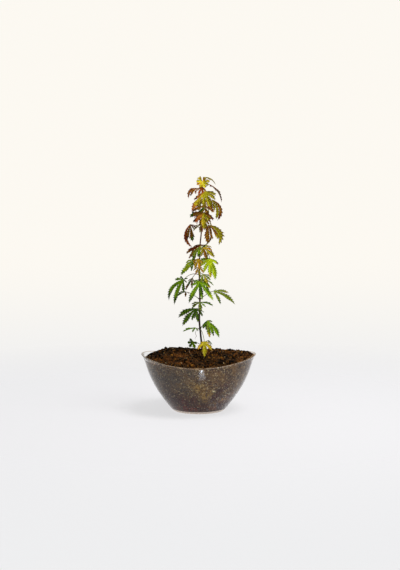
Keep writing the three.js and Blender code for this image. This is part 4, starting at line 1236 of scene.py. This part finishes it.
# Small things on the plant and the soil: a withered stalk that curls down from the second pair of
# leaves, a dry strand and a dark twig on the soil, and a green seedling of many narrow blades at the
# left.
STRAND_SIDES = 7


def strand(name, knots, thick, thin, skin):
    line = spline_points([Vector(k) * MM for k in knots], 12 * (len(knots) - 1))
    last = len(line) - 1
    rings = []
    for step, point in enumerate(line):
        along = Vector(line[min(step + 1, last)] - line[max(step - 1, 0)]).normalized()
        rings.append((Vector(point), along, thick + (thin - thick) * step / last))
    piece = mesh_piece(name, *tube(rings, STRAND_SIDES))
    piece.data.materials.append(skin)
    bpy.ops.object.shade_smooth()
    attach(piece, "root")


strand("withered_stalk", [(1.6, -0.6, 121.5), (-2.5, -2.2, 121), (-4.6, -3, 117), (-4.6, -3, 114.4),
                          (-3.1, -3.5, 111.5), (-4.9, -4, 108.5), (-5.3, -4, 106.5)],
       thick=0.00032, thin=0.00018,
       skin=leaf_skin("withered_stalk", (0.45, 0.33, 0.20), 0.7))
strand("dry_strand", [(-13.6, -12, 90.2), (-13.6, -18, 90.6), (-12.6, -24, 88.6), (-10.6, -31, 87.2),
                      (-8.9, -37, 84.9)],
       thick=0.00038, thin=0.00022,
       skin=leaf_skin("dry_strand", (0.62, 0.52, 0.38), 0.8))
strand("soil_twig", [(-17.5, 2, 88.6), (-17, 1.5, 91.5), (-16.4, 1, 94.4)],
       thick=0.0007, thin=0.0003,
       skin=leaf_skin("dark_twig", (0.14, 0.09, 0.07), 0.8))

SEEDLING_BLADES = 26
SEEDLING_PLACE = (-38, -2)
SEEDLING_FOOT_HEIGHT = 0.0895
seedling_corners, seedling_faces = [], []
seeded = random.Random(7)
for _ in range(SEEDLING_BLADES):
    x, y = SEEDLING_PLACE
    foot = Vector((x + seeded.gauss(0, 3.2), y + seeded.gauss(0, 3), 0)) * MM
    foot.z = SEEDLING_FOOT_HEIGHT + seeded.uniform(-0.0004, 0.0006)
    toward = seeded.uniform(0, math.tau)
    lean = Vector((math.cos(toward), math.sin(toward), seeded.uniform(0.7, 1.6))).normalized()
    square = lean.cross(UP).normalized()
    long, wide = seeded.uniform(0.0016, 0.0034), seeded.uniform(0.0003, 0.0005)
    face_up = square.cross(lean).normalized() * 0.0001
    start = len(seedling_corners)
    for share, spread in ((0, 0.35), (0.35, 1), (0.7, 0.8)):
        spot = foot + lean * long * share - UP * 0.0006 * share * share
        out = square * wide * spread
        seedling_corners += [spot - out, spot + face_up, spot + out, spot - face_up]
    seedling_corners.append(foot + lean * long - UP * 0.0007)
    for ring in range(2):
        for side in range(4):
            a, b = start + ring * 4 + side, start + ring * 4 + (side + 1) % 4
            seedling_faces.append((a, a + 4, b + 4, b))
    for side in range(4):
        seedling_faces.append((start + 8 + side, start + 12, start + 8 + (side + 1) % 4))
    seedling_faces.append((start, start + 1, start + 2, start + 3))
seedling = mesh_piece("green_seedling", seedling_corners, seedling_faces)
seedling.data.materials.append(leaf_skin("seedling_green", (0.46, 0.52, 0.20), 0.5))
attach(seedling, "root")


# The studio: a pale round floor, faintly lit from below like a light table, that fades into a pale
# surround, a broad soft light overhead, a fainter one from the right and a small low glow in front,
# brightest at the middle of its near edge, which the bowl mirrors under its lip.
FLOOR_FADES_FROM = 0.16
FLOOR_FADES_TO = 0.75
bpy.ops.object.select_all(action="DESELECT")
bpy.ops.mesh.primitive_circle_add(vertices=96, radius=6, fill_type="NGON")
floor = bpy.context.object
floor.name = "floor"
pale = Finish("pale_floor")
pale.set(Base_Color=(0.47, 0.47, 0.49), Roughness=0.9, Specular_IOR_Level=0.2)
pale.set(Emission_Color=(0.935, 0.935, 0.94), Emission_Strength=0.76)
pale.set(Alpha=pale.stretched(pale.length(pale.place), FLOOR_FADES_FROM, FLOOR_FADES_TO, 1.0, 0.0))
floor.data.materials.append(pale.material)

# The surround is cool at the floor's level and warm above it, fills the shadows less than it shows,
# and is mirrored darker in front than behind
HORIZON_LOW = -0.19
HORIZON_HIGH = -0.06
world = bpy.data.worlds.new("pale_surround")
bpy.context.scene.world = world
world.use_nodes = True
sky = world.node_tree
outlook = add_node(sky, "ShaderNodeTexCoord", "Generated")
aim = add_node(sky, "ShaderNodeSeparateXYZ", "Z", {0: outlook}).node.outputs
climb = add_node(sky, "ShaderNodeMapRange", "Result", {
    "Value": aim["Z"], "From Min": HORIZON_LOW, "From Max": HORIZON_HIGH},
    interpolation_type="SMOOTHSTEP")
wash = add_node(sky, "ShaderNodeMix", 2, {
    0: climb, 6: (0.935, 0.936, 0.94), 7: (0.99, 0.976, 0.948)}, data_type="RGBA")
mirrored = add_node(sky, "ShaderNodeMapRange", "Result", {
    "Value": aim["Y"], "From Min": -0.6, "From Max": 0.5, "To Min": 0.14, "To Max": 0.9})
kind_of_ray = add_node(sky, "ShaderNodeLightPath", 0).node.outputs
fill = add_node(sky, "ShaderNodeMix", 0, {
    0: kind_of_ray["Is Glossy Ray"], 2: 0.36, 3: mirrored}, data_type="FLOAT")
strength = add_node(sky, "ShaderNodeMix", 0, {
    0: kind_of_ray["Is Camera Ray"], 2: fill, 3: 1.0}, data_type="FLOAT")
feed(sky, sky.nodes["Background"].inputs["Color"], wash)
feed(sky, sky.nodes["Background"].inputs["Strength"], strength)

GLOW_WIDTH = 0.025
GLOW_DEPTH = 0.040
GLOW_NEAR_EDGE = (0.0137, -0.157)
GLOW_HEIGHT = 0.002
GLOW_BRIGHTNESS = 8


def soft_light(name, place, target, width, depth, watts, colour):
    lamp = bpy.data.lights.new(name, "AREA")
    lamp.shape = "RECTANGLE"
    lamp.size, lamp.size_y = width, depth
    lamp.energy = watts
    lamp.color = colour
    holder = bpy.data.objects.new(name, lamp)
    holder.location = place
    holder.rotation_euler = (Vector(target) - Vector(place)).to_track_quat("-Z", "Y").to_euler()
    holder.visible_camera = False
    bpy.context.scene.collection.objects.link(holder)


soft_light("overhead", place=(0.5, -0.25, 1.4), target=(0, 0, 0.15), width=0.6, depth=0.6, watts=18.5,
           colour=(1, 0.97, 0.93))
soft_light("from_the_right", place=(1.2, -0.9, 0.9), target=(0, 0, 0.15), width=0.7, depth=0.7, watts=5,
           colour=(1, 0.96, 0.9))
for share in (0.2, 0.4, 0.6, 0.8, 1):
    wide, deep = GLOW_WIDTH * share, GLOW_DEPTH * share
    middle = Vector((GLOW_NEAR_EDGE[0], GLOW_NEAR_EDGE[1] + deep / 2, GLOW_HEIGHT))
    soft_light(f"low_glow_{share}", place=middle, target=middle + UP, width=wide, depth=deep,
               watts=GLOW_BRIGHTNESS * wide * deep / share**1.5, colour=(0.82, 0.90, 1))


# The camera: at the height of the plant's tip, 1.8 m in front of it and turned a little down, as the
# photo looks at it.
LENS = 75.79
SENSOR = 36
LOOKS_DOWN = 5.2
camera = bpy.data.cameras.new("photo_view")
camera.sensor_width = SENSOR
camera.lens = LENS
camera.clip_start, camera.clip_end = 0.05, 60
watcher = bpy.data.objects.new("photo_view", camera)
watcher.location = (0.0021, -1.77568, 0.34897)
watcher.rotation_euler = (math.radians(90 - LOOKS_DOWN), 0, 0)
bpy.context.scene.collection.objects.link(watcher)
bpy.context.scene.camera = watcher
bpy.context.scene.view_settings.view_transform = "Standard"
